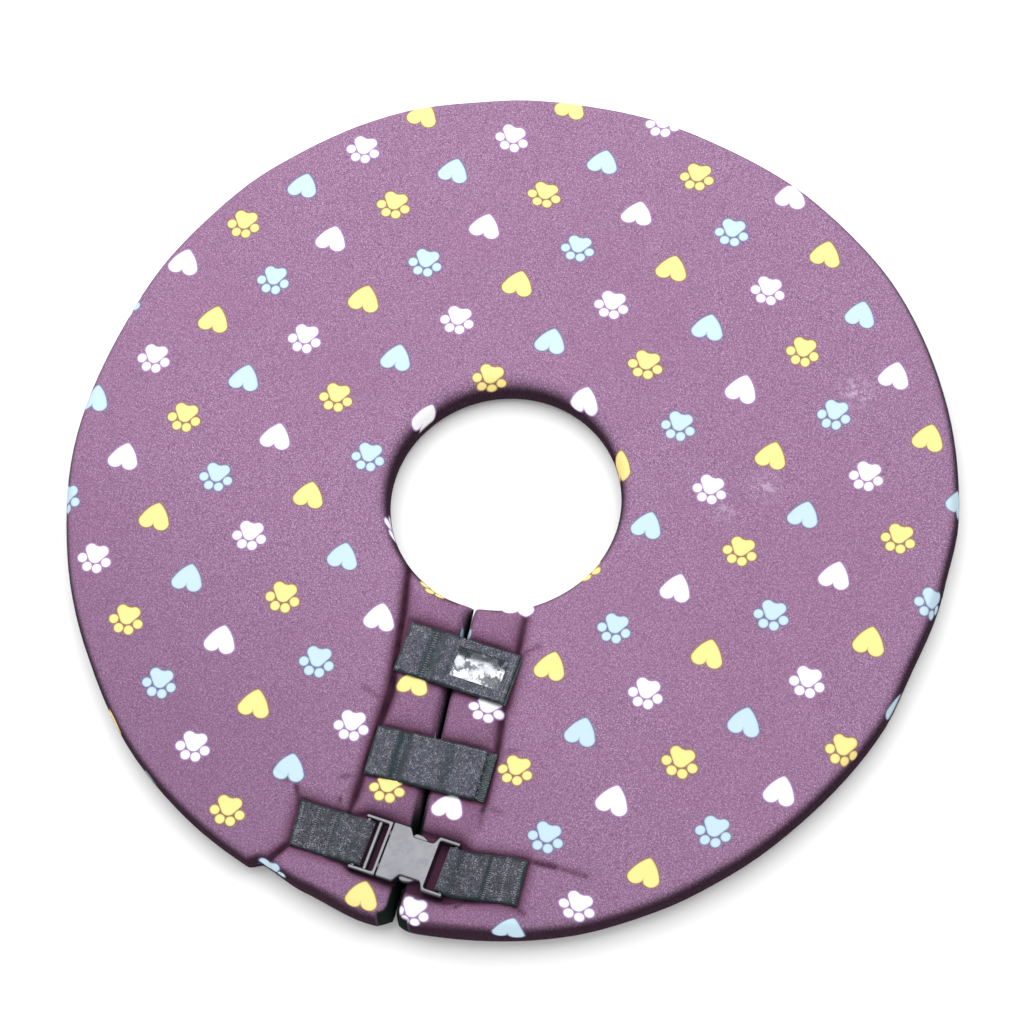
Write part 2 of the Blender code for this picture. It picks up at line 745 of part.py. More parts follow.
def webbing_sections(length, stitch):
    """Sections (t, low, high) of a webbing strap that wraps a bar at t = 0 and is sewn
    down at t = length, heights from the buckle's middle."""
    wrap = BAR_RADIUS + CLEARANCE + WEBBING_THICKNESS
    ground = -BUCKLE_HEIGHT / 2
    single = ground + WEBBING_THICKNESS
    double = ground + 2 * WEBBING_THICKNESS + CLEARANCE
    rows = []
    for k in range(1, BAR_SIDES // 4 + 1):
        turn = math.pi / 2 * k / (BAR_SIDES // 4)
        rows.append((-wrap * math.cos(turn), -wrap * math.sin(turn), wrap * math.sin(turn)))
    ridge = length - stitch
    puffed = double + WEBBING_THICKNESS * LOOP_PUFF
    for along, low_fall, high_fall in WEBBING_FALL:
        rows.append((wrap * along, mix(-wrap, ground, low_fall), mix(wrap, puffed, high_fall)))
    rows.append(((rows[-1][0] + ridge) / 2, ground, puffed))
    rows.append((ridge - WEBBING_THICKNESS, ground, double))
    rows.append((ridge, ground, single))
    rows.append(((ridge + length) / 2, ground, single + WEBBING_THICKNESS * END_PUFF))
    rows.append((length, ground, single))
    return rows


def make_webbing(name, side, end, rise, stitch_from_end, webbing):
    """A sewn webbing strap whose loop holds one bar of the buckle."""
    bar_u = left_bar_u() if side < 0 else right_bar_u()
    a = math.radians(BUCKLE_SLANT_DEG)
    start = buckle_plan(bar_u, 0.0)
    length = abs(side * end - start[0]) / math.cos(a)
    loops = []
    for t, low, high in webbing_sections(length, stitch_from_end):
        turn = smooth(t / length)
        lean = a * (1 - turn)
        x = start[0] + side * t * math.cos(a)
        y = start[1] + side * t * math.sin(a) + rise * turn
        loop = []
        for share, z in ((-0.5, low), (0.5, low), (0.5, high), (-0.5, high)):
            v = share * WEBBING_WIDTH
            loop.append((x - v * math.sin(lean), y + v * math.cos(lean), buckle_middle_z() + z))
        loops.append(loop)
    strap = new_object(name, loft(name, loops, TAPE_SHARP_DEG), webbing)
    hole = rod(name + "_hole", bar_u, -WEBBING_WIDTH, WEBBING_WIDTH, BAR_RADIUS + CLEARANCE)
    cut(strap, hole)


def make_material(name, colour, roughness, metallic=0.0, alpha=1.0):
    material = bpy.data.materials.new(name)
    material.use_nodes = True
    shader = material.node_tree.nodes["Principled BSDF"]
    shader.inputs["Base Color"].default_value = (*colour, 1.0)
    shader.inputs["Roughness"].default_value = roughness
    shader.inputs["Metallic"].default_value = metallic
    shader.inputs["Alpha"].default_value = alpha
    material.diffuse_color = (*colour, alpha)
    return material


def clear_scene():
    for thing in list(bpy.data.objects):
        bpy.data.objects.remove(thing, do_unlink=True)


def main():
    clear_scene()
    cloth = make_material("plum_cloth", (0.27, 0.13, 0.24), 0.8)
    tape = make_material("charcoal_tape", (0.07, 0.07, 0.08), 0.95)
    webbing = make_material("charcoal_webbing", (0.05, 0.05, 0.06), 0.9)
    plastic = make_material("grey_plastic", (0.20, 0.20, 0.22), 0.35)
    card = make_material("blank_card", (0.85, 0.85, 0.86), 0.6)
    vinyl = make_material("clear_vinyl", (0.95, 0.95, 0.97), 0.1, alpha=0.35)
    make_padded_disc(cloth)
    make_id_strap(tape, card, vinyl)
    make_middle_strap(tape)
    make_buckle_male(plastic)
    make_buckle_female(plastic)
    make_webbing("webbing_left", -1, LEFT_WEBBING_END, 0.0, LEFT_STITCH_FROM_END, webbing)
    make_webbing("webbing_right", 1, RIGHT_WEBBING_END, RIGHT_WEBBING_RISE,
                 RIGHT_STITCH_FROM_END, webbing)


main()
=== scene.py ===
"""The looks of a soft recovery cone: a printed, padded cloth disc closed over its slit by two
hook-and-loop straps and by webbing with a side-release buckle.

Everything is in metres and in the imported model's frame: the disc lies face up on z = 0, its
neck hole is centred on the origin and its slit runs towards -Y.
"""

import math

import bmesh
import bpy
import numpy as np
from mathutils import Matrix, Vector


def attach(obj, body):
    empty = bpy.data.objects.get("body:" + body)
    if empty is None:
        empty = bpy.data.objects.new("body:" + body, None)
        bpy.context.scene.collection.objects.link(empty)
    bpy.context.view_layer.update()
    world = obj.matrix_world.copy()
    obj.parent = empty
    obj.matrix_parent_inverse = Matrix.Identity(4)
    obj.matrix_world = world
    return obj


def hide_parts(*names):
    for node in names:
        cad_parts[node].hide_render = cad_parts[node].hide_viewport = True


MM = 0.001

# Padded disc
OUTER_RADIUS = 0.238
NECK_RADIUS = 0.062
PAD_THICKNESS = 0.024
RIM_ROUND = 0.0060
NECK_ROUND = 0.009
SLIT_ROUND = 0.0048
UNDERSIDE_ROUND = 0.006
MIDDLE_HEIGHT_SHARE = 0.42
LEFT_PANEL_WIDTH = 0.0335
RIGHT_PANEL_WIDTH = 0.0295
FINE_WIDTH = 0.044
FINE_STEP = 0.0010

# The rim's outline. Columns: angle_deg from +X, counter-clockwise; radius, as a share of
# OUTER_RADIUS
NOTCH_START_DEG = 249.6
NOTCH_END_DEG = 251.4
RIM_OUTLINE = (
    (0, 0.996),
    (10, 1.010),
    (25, 1.013),
    (42, 1.016),
    (58, 1.008),
    (75, 0.998),
    (90, 1.000),
    (105, 1.003),
    (118, 1.014),
    (135, 1.012),
    (155, 1.006),
    (168, 0.998),
    (185, 1.002),
    (200, 0.997),
    (215, 0.994),
    (229, 1.001),
    (240, 1.001),
    (NOTCH_START_DEG, 0.999),
    (NOTCH_END_DEG, 0.978),
    (258, 0.988),
    (267, 1.003),
    (275, 1.001),
    (292, 1.004),
    (303, 0.999),
    (313, 0.994),
    (325, 0.990),
    (340, 0.992),
    (348, 0.985),
)

# How far the rim draws back beside the slit. Columns: from_slit, left_setback,
# right_setback, as shares of PAD_THICKNESS
CORNERS = (
    (0.00, 0.16, 0.30),
    (0.10, 0.12, 0.10),
    (0.22, 0.06, 0.04),
    (0.34, 0.00, 0.01),
    (0.50, 0.00, 0.00),
)

# The slit from the neck to the rim. Columns: y, as a share of OUTER_RADIUS; centre and gap,
# as shares of PAD_THICKNESS
SLIT = (
    (0.26, -0.05, 0.05),
    (0.47, -0.09, 0.03),
    (0.58, -0.05, 0.03),
    (0.75, 0.01, 0.04),
    (0.84, 0.00, 0.04),
    (0.92, -0.02, 0.04),
    (1.00, -0.03, 0.05),
)

# The two sewn creases beside the slit. Columns: x, y, as shares of OUTER_RADIUS; depth, as a
# share of PAD_THICKNESS
LEFT_CREASE = (
    (-0.166, -0.205, 0.16),
    (-0.148, -0.330, 0.24),
    (-0.131, -0.500, 0.30),
    (-0.140, -0.620, 0.24),
    (-0.146, -0.745, 0.19),
    (-0.150, -0.790, 0.08),
)
RIGHT_CREASE = (
    (0.116, -0.230, 0.08),
    (0.120, -0.330, 0.16),
    (0.122, -0.480, 0.18),
    (0.130, -0.580, 0.18),
    (0.134, -0.720, 0.07),
    (0.137, -0.760, 0.00),
)
CREASE_REACH = 0.0075
# Painted shade in the pad's hollows reaches its full strength at this depth
HOLLOW_SHADE_FULL = 0.0038
# Thin painted shadow lines along the creases and folds: the depth share at full strength, their half width,
# and their share on folds
CREASE_SHADOW_FULL = 0.20
CREASE_SHADOW_HALF_WIDTH = 0.0016
FOLD_SHADOW_SHARE = 0.6

# Folds and puckers. Columns: start_x, start_y, end_x, end_y, as shares of OUTER_RADIUS;
# depth, half_width, as shares of PAD_THICKNESS
FOLDS = (
    (-0.318, -0.962, -0.300, -0.926, 0.26, 0.30),
    (-0.308, -0.938, -0.262, -0.880, 0.24, 0.26),
    (0.255, -0.806, 0.315, -0.806, 0.14, 0.20),
    (0.315, -0.806, 0.385, -0.812, 0.07, 0.22),
    (-0.278, -0.752, -0.262, -0.785, 0.13, 0.14),
    (-0.336, -0.728, -0.300, -0.745, 0.05, 0.20),
    (-0.176, -0.760, -0.172, -0.784, 0.10, 0.10),
    (-0.150, -0.768, -0.150, -0.790, 0.08, 0.10),
    (0.128, -0.940, 0.150, -0.912, 0.12, 0.14),
    (0.248, -0.908, 0.275, -0.922, 0.10, 0.14),
    (-0.150, -0.520, -0.190, -0.505, 0.05, 0.22),
    (-0.150, -0.700, -0.185, -0.712, 0.05, 0.20),
    (0.136, -0.582, 0.170, -0.574, 0.05, 0.18),
    (0.136, -0.710, 0.172, -0.716, 0.05, 0.18),
    (0.135, -0.352, 0.165, -0.330, 0.06, 0.16),
)

# Shallow dents and swells. Columns: x, y, as shares of OUTER_RADIUS; depth, radius, as shares
# of PAD_THICKNESS
DENTS = (
    (-0.30, -0.62, 0.04, 2.4),
    (0.24, -0.55, 0.03, 2.2),
    (0.62, 0.25, 0.04, 3.4),
    (-0.66, 0.32, 0.03, 3.6),
    (-0.05, 0.70, 0.03, 3.4),
    (0.52, -0.52, 0.03, 3.0),
)
# Cushions of stuffed cloth between the straps. Columns: x, y, half_width, half_length, as
# shares of OUTER_RADIUS; height, as a share of PAD_THICKNESS
PILLOWS = (
    (-0.080, -0.300, 0.070, 0.055, 0.10),
    (0.062, -0.315, 0.060, 0.050, 0.08),
    (-0.072, -0.520, 0.066, 0.070, 0.14),
    (0.064, -0.528, 0.060, 0.066, 0.12),
    (-0.080, -0.735, 0.070, 0.060, 0.14),
    (0.085, -0.755, 0.080, 0.060, 0.10),
    (-0.215, -0.735, 0.065, 0.060, 0.07),
    (-0.150, -0.945, 0.145, 0.052, 0.12),
    (0.130, -0.960, 0.125, 0.045, 0.10),
)
# Slow unevenness of the stuffed cloth. Columns: wavelength, height, as shares of
# PAD_THICKNESS
UNEVENNESS = (
    (3.6, 0.018),
    (1.9, 0.009),
    (0.9, 0.004),
)

# Straps: place of the centre line where it crosses the slit, slant and size
CLEARANCE = 0.0003
SEAT_DEPTH = 0.0030
SEAT_MARGIN = 0.0006
SEAT_REACH = 0.0085
ID_STRAP_FROM_NECK = 0.0346
ID_STRAP_WIDTH = 0.0280
ID_STRAP_LEFT = 0.0316
ID_STRAP_RIGHT = 0.0293
ID_STRAP_SLANT_DEG = -6.3
MIDDLE_STRAP_OFFSET = -0.0022
MIDDLE_STRAP_WIDTH = 0.0270
MIDDLE_STRAP_LEFT = 0.0335
MIDDLE_STRAP_RIGHT = 0.0264
MIDDLE_STRAP_SLANT_DEG = -1.7
TAPE_THICKNESS = 0.0018
TAPE_EDGE_ROUND = 0.0009
PATCH_THICKNESS = 0.0010
PATCH_START = 0.0060
ID_PATCH_OVERHANG = 0.0014
MIDDLE_PATCH_OVERHANG = 0.0050

# Window in the ID strap's flap: distances from the flap's right end and lower edge
WINDOW_LENGTH = 0.0280
WINDOW_HEIGHT = 0.0170
WINDOW_FROM_END = 0.0042
WINDOW_FROM_LOWER_EDGE = 0.0058
WINDOW_DEPTH = 0.0012
SHEET_THICKNESS = 0.0003

# Buckle and its webbing
BUCKLE_FROM_RIM = 0.0342
BUCKLE_CENTRE_X = -0.0012
BUCKLE_SLANT_DEG = -6.0
BUCKLE_HEIGHT = 0.0080
BUCKLE_SEAT_DEPTH = 0.0035
WEBBING_WIDTH = 0.0245
WEBBING_THICKNESS = 0.0015
LEFT_WEBBING_END = 0.0620
RIGHT_WEBBING_END = 0.0606
RIGHT_WEBBING_RISE = 0.0065
LEFT_STITCH_FROM_END = 0.0215
RIGHT_STITCH_FROM_END = 0.0190
BAR_RADIUS = 0.0017
BAR_INSET = 0.0003
ARM_WIDTH = 0.0022
FRAME_HEIGHT = 0.0050
SLOT_LENGTH = 0.0030
MOUTH_CLEARANCE = 0.0003
FEMALE_PLATE_LENGTH = 0.0105
WINDOW_SPAN = 0.0125
FLARE_LENGTH = 0.0030
FEMALE_END_LENGTH = 0.0105
SHELL_WALL = 0.0015
WAIST_HALF_WIDTH = 0.0106
PRONG_ARM_WIDTH = 0.0034
TAB_BULGE = 0.0027
TAB_TAPER = 0.8
MOULDED_ROUND = 0.0008
EDGE_STEPS = 5

# Print: hearts and paw prints on a slanting lattice, lengths along the cloth
PRINT_PIVOT = (-0.002, 0.005)
PRINT_TURN = 1 / 1.0177
PRINT_START = (-0.0169, 0.2332)
PRINT_STEP = 0.0386
PRINT_STEP_DEG = -133.64
PRINT_ROW = 0.03944
PRINT_ROW_DEG = -50.11
MOTIF_UP_DEG = 87.5

# How the cloth is pulled in places. Columns: x, y, shift_x, shift_y, reach, as shares of
# OUTER_RADIUS
PULLS = (
    (-0.02, 0.94, 0.00, -0.028, 0.25),
    (0.48, 0.46, 0.010, 0.003, 0.20),
    (0.56, 0.22, 0.000, -0.013, 0.13),
    (0.53, -0.18, -0.011, 0.003, 0.20),
    (0.88, -0.04, -0.010, 0.004, 0.20),
    (0.70, -0.57, 0.010, -0.005, 0.20),
    (0.50, -0.78, 0.004, -0.013, 0.14),
    (-0.54, 0.50, -0.010, 0.011, 0.13),
    (-0.45, -0.24, 0.003, 0.009, 0.20),
    (-0.20, -0.36, 0.006, 0.008, 0.12),
    (0.08, -0.48, 0.008, -0.013, 0.11),
    (0.26, -0.99, -0.011, 0.030, 0.10),
)

# Materials: how much light each returns in red, green and blue
YELLOW = (0.82, 0.67, 0.24)
SKY = (0.46, 0.61, 0.69)
WHITE = (0.84, 0.84, 0.85)
CLOTH_DARK = (0.135, 0.065, 0.125)
CLOTH_LIGHT = (0.308, 0.171, 0.299)
CLOTH_FLECK = (0.580, 0.430, 0.580)
# Painted shade in the pad's hollows and creases
CLOTH_HOLLOW_SHADE = (0.085, 0.026, 0.054)
# Painted shadow lines along the creases and folds
CREASE_SHADOW = (0.020, 0.007, 0.013)
# Painted shade inside the slit
SLIT_SHADE = (0.005, 0.010, 0.008)
CLOTH_WARM = (0.235, 0.110, 0.195)
# Painted shade on the panels between the straps
CLOTH_PANEL_SHADE = (0.105, 0.034, 0.078)
# Painted shade on the pad's sides
CLOTH_SIDE_SHADE = (0.014, 0.0045, 0.009)
YELLOW_EDGE = (0.24, 0.16, 0.05)
SKY_EDGE = (0.12, 0.16, 0.29)
WHITE_EDGE = (0.32, 0.20, 0.42)
DUST = (0.62, 0.52, 0.63)
TAPE_DARK = (0.033, 0.034, 0.049)
TAPE_LIGHT = (0.100, 0.102, 0.134)
TAPE_FLECK = (0.330, 0.340, 0.380)
# Dark frayed edge of the tapes, also the colour of their stripes of painted shade
TAPE_EDGE = (0.008, 0.024, 0.028)
WEBBING_DARK = (0.021, 0.022, 0.031)
WEBBING_LIGHT = (0.080, 0.081, 0.106)
PLASTIC_DARK = (0.030, 0.028, 0.056)
PLASTIC_LIGHT = (0.052, 0.050, 0.084)
# Painted shade on the buckle's sides and edges
PLASTIC_SIDE_SHADE = (0.006, 0.007, 0.009)

# White dusty smudges on the cloth. Columns: x, y, reach, as shares of OUTER_RADIUS
SMUDGES = (
    (0.713, 0.401, 0.060),
    (0.566, 0.137, 0.050),
    (0.492, 0.060, 0.035),
)

# Camera, aimed at a point on the printed face
AIM = (-0.002, 0.005, 0.024)
CAMERA_DISTANCE = 1.8
CAMERA_TILT_DEG = 22.2
CAMERA_FROM_DEG = 297.0
CAMERA_ROLL_DEG = 284.0
CAMERA_LENS = 119.1
CAMERA_SHIFT = (0.0099, -0.0268)


def smooth(t):
    """A step from 0 to 1 with flat ends."""
    t = np.clip(t, 0.0, 1.0)
    return t * t * (3.0 - 2.0 * t)


def rounded(t):
    """A quarter circle: 0 and steep at 0, 1 and flat from 1 on."""
    inside = np.clip(t, 0.0, 1.0)
    return np.sqrt(1.0 - (1.0 - inside) ** 2)


def column(table, index):
    return np.array([row[index] for row in table], float)


def rim_radius(angle_deg):
    """The rim's distance from the origin, joined smoothly between the table's rows."""
    angles = np.append(column(RIM_OUTLINE, 0), 360.0)
    shares = np.append(column(RIM_OUTLINE, 1), RIM_OUTLINE[0][1])
    angle = np.mod(angle_deg, 360.0)
    k = np.clip(np.searchsorted(angles, angle, side="right") - 1, 0, len(angles) - 2)
    t = smooth((angle - angles[k]) / (angles[k + 1] - angles[k]))
    return OUTER_RADIUS * (shares[k] + (shares[k + 1] - shares[k]) * t)


def id_strap_y():
    return -(NECK_RADIUS + ID_STRAP_FROM_NECK)


def buckle_y():
    return -(OUTER_RADIUS - BUCKLE_FROM_RIM)


def middle_strap_y():
    return (id_strap_y() + buckle_y()) / 2 + MIDDLE_STRAP_OFFSET


def buckle_width():
    return WEBBING_WIDTH + 2 * (CLEARANCE + ARM_WIDTH) + 2 * CLEARANCE


class Lay:
    """Where a strap lies: its centre at x = 0, slant, ends and width."""

    def __init__(self, y, slant_deg, left, right, width, depth):
        self.y = y
        self.slope = math.tan(math.radians(slant_deg))
        self.left, self.right = left, right
        self.width = width
        self.depth = depth

    def centre(self, x):
        return self.y + self.slope * x

    def place(self, x, v):
        """A point v off the centre line, square to the strap's slant, at x along it."""
        angle = math.atan(self.slope)
        return x - v * math.sin(angle), self.centre(x) + v * math.cos(angle)

    def away(self, x, y):
        """How far a point is from the strap's rectangle."""
        across = np.abs(y - self.centre(x)) * math.cos(math.atan(self.slope)) - self.width / 2
        along = np.maximum(-self.left - x, x - self.right)
        return np.hypot(np.maximum(across, 0), np.maximum(along, 0))


ID_LAY = Lay(id_strap_y(), ID_STRAP_SLANT_DEG, ID_STRAP_LEFT,
             ID_STRAP_RIGHT + ID_PATCH_OVERHANG, ID_STRAP_WIDTH, SEAT_DEPTH)
MIDDLE_LAY = Lay(middle_strap_y(), MIDDLE_STRAP_SLANT_DEG, MIDDLE_STRAP_LEFT,
                 MIDDLE_STRAP_RIGHT + MIDDLE_PATCH_OVERHANG, MIDDLE_STRAP_WIDTH, SEAT_DEPTH)


def distance_to_segment(x, y, x1, y1, x2, y2):
    """How far points are from a segment, and their shares along it."""
    dx, dy = x2 - x1, y2 - y1
    t = np.clip(((x - x1) * dx + (y - y1) * dy) / (dx * dx + dy * dy), 0, 1)
    return np.hypot(x - x1 - t * dx, y - y1 - t * dy), t


def crease(x, y, table):
    """The depth of a sewn crease with a pillow on both sides."""
    sunk = np.zeros_like(x)
    for (x1, y1, d1), (x2, y2, d2) in zip(table, table[1:]):
        away, t = distance_to_segment(x, y, *(OUTER_RADIUS * v for v in (x1, y1, x2, y2)))
        depth = PAD_THICKNESS * (d1 + (d2 - d1) * t)
        sunk = np.maximum(sunk, depth * (1 - rounded(away / CREASE_REACH)))
    return sunk


def unevenness(x, y):
    """Slow waves of the stuffed cloth."""
    rng = np.random.default_rng(7)
    height = np.zeros_like(x)
    for length, share in UNEVENNESS:
        for _ in range(5):
            turn, phase = rng.uniform(0, 2 * math.pi, 2)
            wave = (x * math.cos(turn) + y * math.sin(turn)) * 2 * math.pi / (length * PAD_THICKNESS)
            height += share * PAD_THICKNESS * np.sin(wave * rng.uniform(0.8, 1.25) + phase) / 2
    return height


def webbing_centre(x):
    """The centre line of the webbing and the buckle over the cloth."""
    slope = math.tan(math.radians(BUCKLE_SLANT_DEG))
    bar = right_bar_u()
    rise = RIGHT_WEBBING_RISE * smooth((x - bar) / (RIGHT_WEBBING_END - bar))
    return buckle_y() + slope * (x - BUCKLE_CENTRE_X) + rise


def buckle_seat(x, y):
    """How deep the cloth is pressed under the buckle and the webbing."""
    near = smooth((np.abs(x) - 0.024) / 0.010)
    half = (buckle_width() / 2) * (1 - near) + (WEBBING_WIDTH / 2) * near
    across = np.maximum(np.abs(y - webbing_centre(x)) - half, 0)
    along = np.maximum(np.maximum(-LEFT_WEBBING_END - x, x - RIGHT_WEBBING_END), 0)
    away = np.hypot(across, along)
    return BUCKLE_SEAT_DEPTH * (1 - rounded((away - SEAT_MARGIN) / SEAT_REACH))


def pad_sunk(x, y):
    """How deep the seams, seats and folds press into the pad's upper face."""
    sunk = np.maximum(crease(x, y, LEFT_CREASE), crease(x, y, RIGHT_CREASE))
    for lay in (ID_LAY, MIDDLE_LAY):
        seat = lay.depth * (1 - rounded((lay.away(x, y) - SEAT_MARGIN) / SEAT_REACH))
        sunk = np.maximum(sunk, seat)
    sunk = np.maximum(sunk, buckle_seat(x, y))
    for x1, y1, x2, y2, depth, half_width in FOLDS:
        away, _ = distance_to_segment(x, y, *(OUTER_RADIUS * v for v in (x1, y1, x2, y2)))
        fold = PAD_THICKNESS * depth * (1 - rounded(away / (PAD_THICKNESS * half_width)))
        sunk = np.maximum(sunk, fold)
    return sunk


def swelling(x, y):
    """How far the cushions between the straps stand up."""
    height = np.zeros_like(x)
    for px, py, half_width, half_length, share in PILLOWS:
        across = smooth(1.25 * (1 - np.abs(x / OUTER_RADIUS - px) / half_width))
        along = smooth(1.25 * (1 - np.abs(y / OUTER_RADIUS - py) / half_length))
        height = np.maximum(height, PAD_THICKNESS * share * across * along)
    return height


def crease_shadow_lines(x, y):
    """Where the thin painted shadow lines along the creases and folds run, from 0 to 1."""
    rows = [(x1, y1, x2, y2, max(d1, d2)) for table in (LEFT_CREASE, RIGHT_CREASE)
            for (x1, y1, d1), (x2, y2, d2) in zip(table, table[1:])]
    rows += [(x1, y1, x2, y2, FOLD_SHADOW_SHARE * depth) for x1, y1, x2, y2, depth, _ in FOLDS]
    line = np.zeros_like(x)
    for x1, y1, x2, y2, depth in rows:
        away, _ = distance_to_segment(x, y, *(OUTER_RADIUS * v for v in (x1, y1, x2, y2)))
        line = np.maximum(line, np.minimum(depth / CREASE_SHADOW_FULL, 1.0) * np.exp(-((away / CREASE_SHADOW_HALF_WIDTH) ** 2)))
    return line


def pad_top(x, y):
    """The height of the pad's upper face, before its edges are rounded."""
    sunk = pad_sunk(x, y) - swelling(x, y)
    for dx, dy, depth, radius in DENTS:
        away = np.hypot(x - OUTER_RADIUS * dx, y - OUTER_RADIUS * dy)
        sunk = sunk + PAD_THICKNESS * depth * np.exp(-((away / (PAD_THICKNESS * radius)) ** 2))
    return PAD_THICKNESS - sunk + unevenness(x, y)


def beside_slit(x, y):
    """Moves points beside the slit so that its edges follow the SLIT table."""
    at = -y / OUTER_RADIUS
    centre = np.interp(at, column(SLIT, 0), column(SLIT, 1)) * PAD_THICKNESS
    gap = np.interp(at, column(SLIT, 0), column(SLIT, 2)) * PAD_THICKNESS
    side = np.sign(x)
    fade = 1 - smooth(np.abs(x) / LEFT_PANEL_WIDTH)
    return x + (centre + side * gap / 2) * fade * (y < 0)


def fine_offsets():
    """Distances from the slit of the closest sections."""
    start = SLIT_ROUND * np.array([0.002, 0.02, 0.06, 0.13, 0.23, 0.36, 0.52, 0.70, 0.88])
    return np.concatenate([start, np.arange(SLIT_ROUND, FINE_WIDTH, FINE_STEP)])


def spokes(side):
    """Inner point, outer point and distance from the slit of the sections on one side."""
    offsets = fine_offsets()
    x = side * offsets
    angle = np.degrees(np.arctan2(-OUTER_RADIUS, x))
    from_slit = column(CORNERS, 0) * PAD_THICKNESS
    back = np.interp(offsets, from_slit, column(CORNERS, 1 if side < 0 else 2)) * PAD_THICKNESS
    radius = rim_radius(angle) - back
    inner = np.stack([x, -np.sqrt(NECK_RADIUS**2 - x**2)], -1)
    outer = np.stack([x, -np.sqrt(radius**2 - x**2)], -1)
    last = offsets[-1]
    shares = np.concatenate([np.linspace(0.0015, 0.085, 54), np.linspace(0.092, 1.0, 74)])
    start_in = math.asin(last / NECK_RADIUS)
    start_out = math.asin(last / OUTER_RADIUS)
    turn_in = -math.pi / 2 + side * (start_in + (math.pi - start_in) * shares)
    turn_out = -math.pi / 2 + side * (start_out + (math.pi - start_out) * shares)
    radius = rim_radius(np.degrees(turn_out))
    fan_in = NECK_RADIUS * np.stack([np.cos(turn_in), np.sin(turn_in)], -1)
    fan_out = radius[:, None] * np.stack([np.cos(turn_out), np.sin(turn_out)], -1)
    distance = np.concatenate([offsets, np.full(len(shares), last)])
    return np.concatenate([inner, fan_in]), np.concatenate([outer, fan_out]), distance


def all_spokes():
    """The sections from the slit's left face round to its right face."""
    left, right = spokes(-1), spokes(1)
    return [np.concatenate([a, b[-2::-1]]) for a, b in zip(left, right)]


def disc_grid():
    """Points of the pad's surface by section and row, and where each was on the flat cloth."""
    inner, outer, from_slit = all_spokes()
    length = np.linalg.norm(outer - inner, axis=1)[:, None]
    direction = (outer - inner) / length
    steps = 1 - np.cos(np.linspace(0, math.pi / 2, 9))
    upper_in = steps[None, :-1] * NECK_ROUND
    middle = np.linspace(0, 1, 165)[None, :]
    between = NECK_ROUND + middle * (length - NECK_ROUND - RIM_ROUND)
    fine = 1 - np.cos(np.linspace(0, math.pi / 2, 13))
    upper_out = length - fine[None, -2::-1] * RIM_ROUND
    upper = np.concatenate([np.broadcast_to(upper_in, (len(length), 8)), between, upper_out], 1)
    low = 1 - np.cos(np.linspace(0, math.pi / 2, 8))
    below_out = length - low[None, 1:] * UNDERSIDE_ROUND
    below_mid = length - UNDERSIDE_ROUND - np.linspace(0, 1, 14)[None, 1:-1] * (
        length - 2 * UNDERSIDE_ROUND)
    below_in = np.broadcast_to(low[None, :0:-1] * UNDERSIDE_ROUND, (len(length), 7))
    below = np.concatenate([below_out, below_mid, below_in], 1)
    slit = rounded(from_slit / SLIT_ROUND)[:, None]
    height = PAD_THICKNESS * MIDDLE_HEIGHT_SHARE

    def plan(along):
        p = inner[:, None, :] + direction[:, None, :] * along[..., None]
        return beside_slit(p[..., 0], p[..., 1]), p[..., 1]

    x, y = plan(upper)
    full = rounded(upper / NECK_ROUND) * rounded((length - upper) / RIM_ROUND) * slit
    top = np.stack([x, y, height + (pad_top(x, y) - height) * full], -1)
    x, y = plan(below)
    full = rounded(below / UNDERSIDE_ROUND) * rounded((length - below) / UNDERSIDE_ROUND)
    bottom = np.stack([x, y, height - height * full * slit], -1)
    points = np.concatenate([top, bottom], 1)
    return points, unrolled(points, upper, inner, direction, length, from_slit)


def unrolled(points, upper, inner, direction, length, from_slit):
    """Where each point was on the flat printed cloth before it was wrapped round the edges."""
    step = np.linalg.norm(np.diff(points, axis=1), axis=2)
    run = np.concatenate([np.zeros((len(points), 1)), np.cumsum(step, 1)], 1)
    first, last = 8, upper.shape[1] - 13
    along = np.zeros_like(run)
    along[:, :upper.shape[1]] = upper
    along[:, last:] = along[:, last:last + 1] + run[:, last:] - run[:, last:last + 1]
    along[:, :first] = along[:, first:first + 1] - run[:, first:first + 1] + run[:, :first]
    flat = inner[:, None, :] + direction[:, None, :] * along[..., None]
    flat[..., 0] = beside_slit(flat[..., 0], flat[..., 1])
    wrapped = np.sum(from_slit < SLIT_ROUND) // 2
    for order in (range(wrapped, 0, -1), range(len(points) - 1 - wrapped, len(points) - 1)):
        for k in order:
            after = k - 1 if k <= wrapped else k + 1
            gap = np.linalg.norm(points[after] - points[k], axis=1)
            flat[after, :, 0] = flat[k, :, 0] + (gap if k <= wrapped else -gap)
    return flat


def fabric_place(flat):
    """Places on the print, whose cloth was laid a little turned and stretched round."""
    shift = np.zeros_like(flat)
    for x, y, shift_x, shift_y, reach in PULLS:
        away = np.hypot(flat[..., 0] / OUTER_RADIUS - x, flat[..., 1] / OUTER_RADIUS - y)
        near = np.exp(-((away / reach) ** 2))
        shift += near[..., None] * OUTER_RADIUS * np.array((shift_x, shift_y))
    place = flat - shift - np.array(PRINT_PIVOT)
    x, y = place[..., 0], place[..., 1]
    turn = np.arctan2(x, y) * PRINT_TURN
    radius = np.hypot(x, y)
    return np.stack([radius * np.sin(turn), radius * np.cos(turn)], -1)


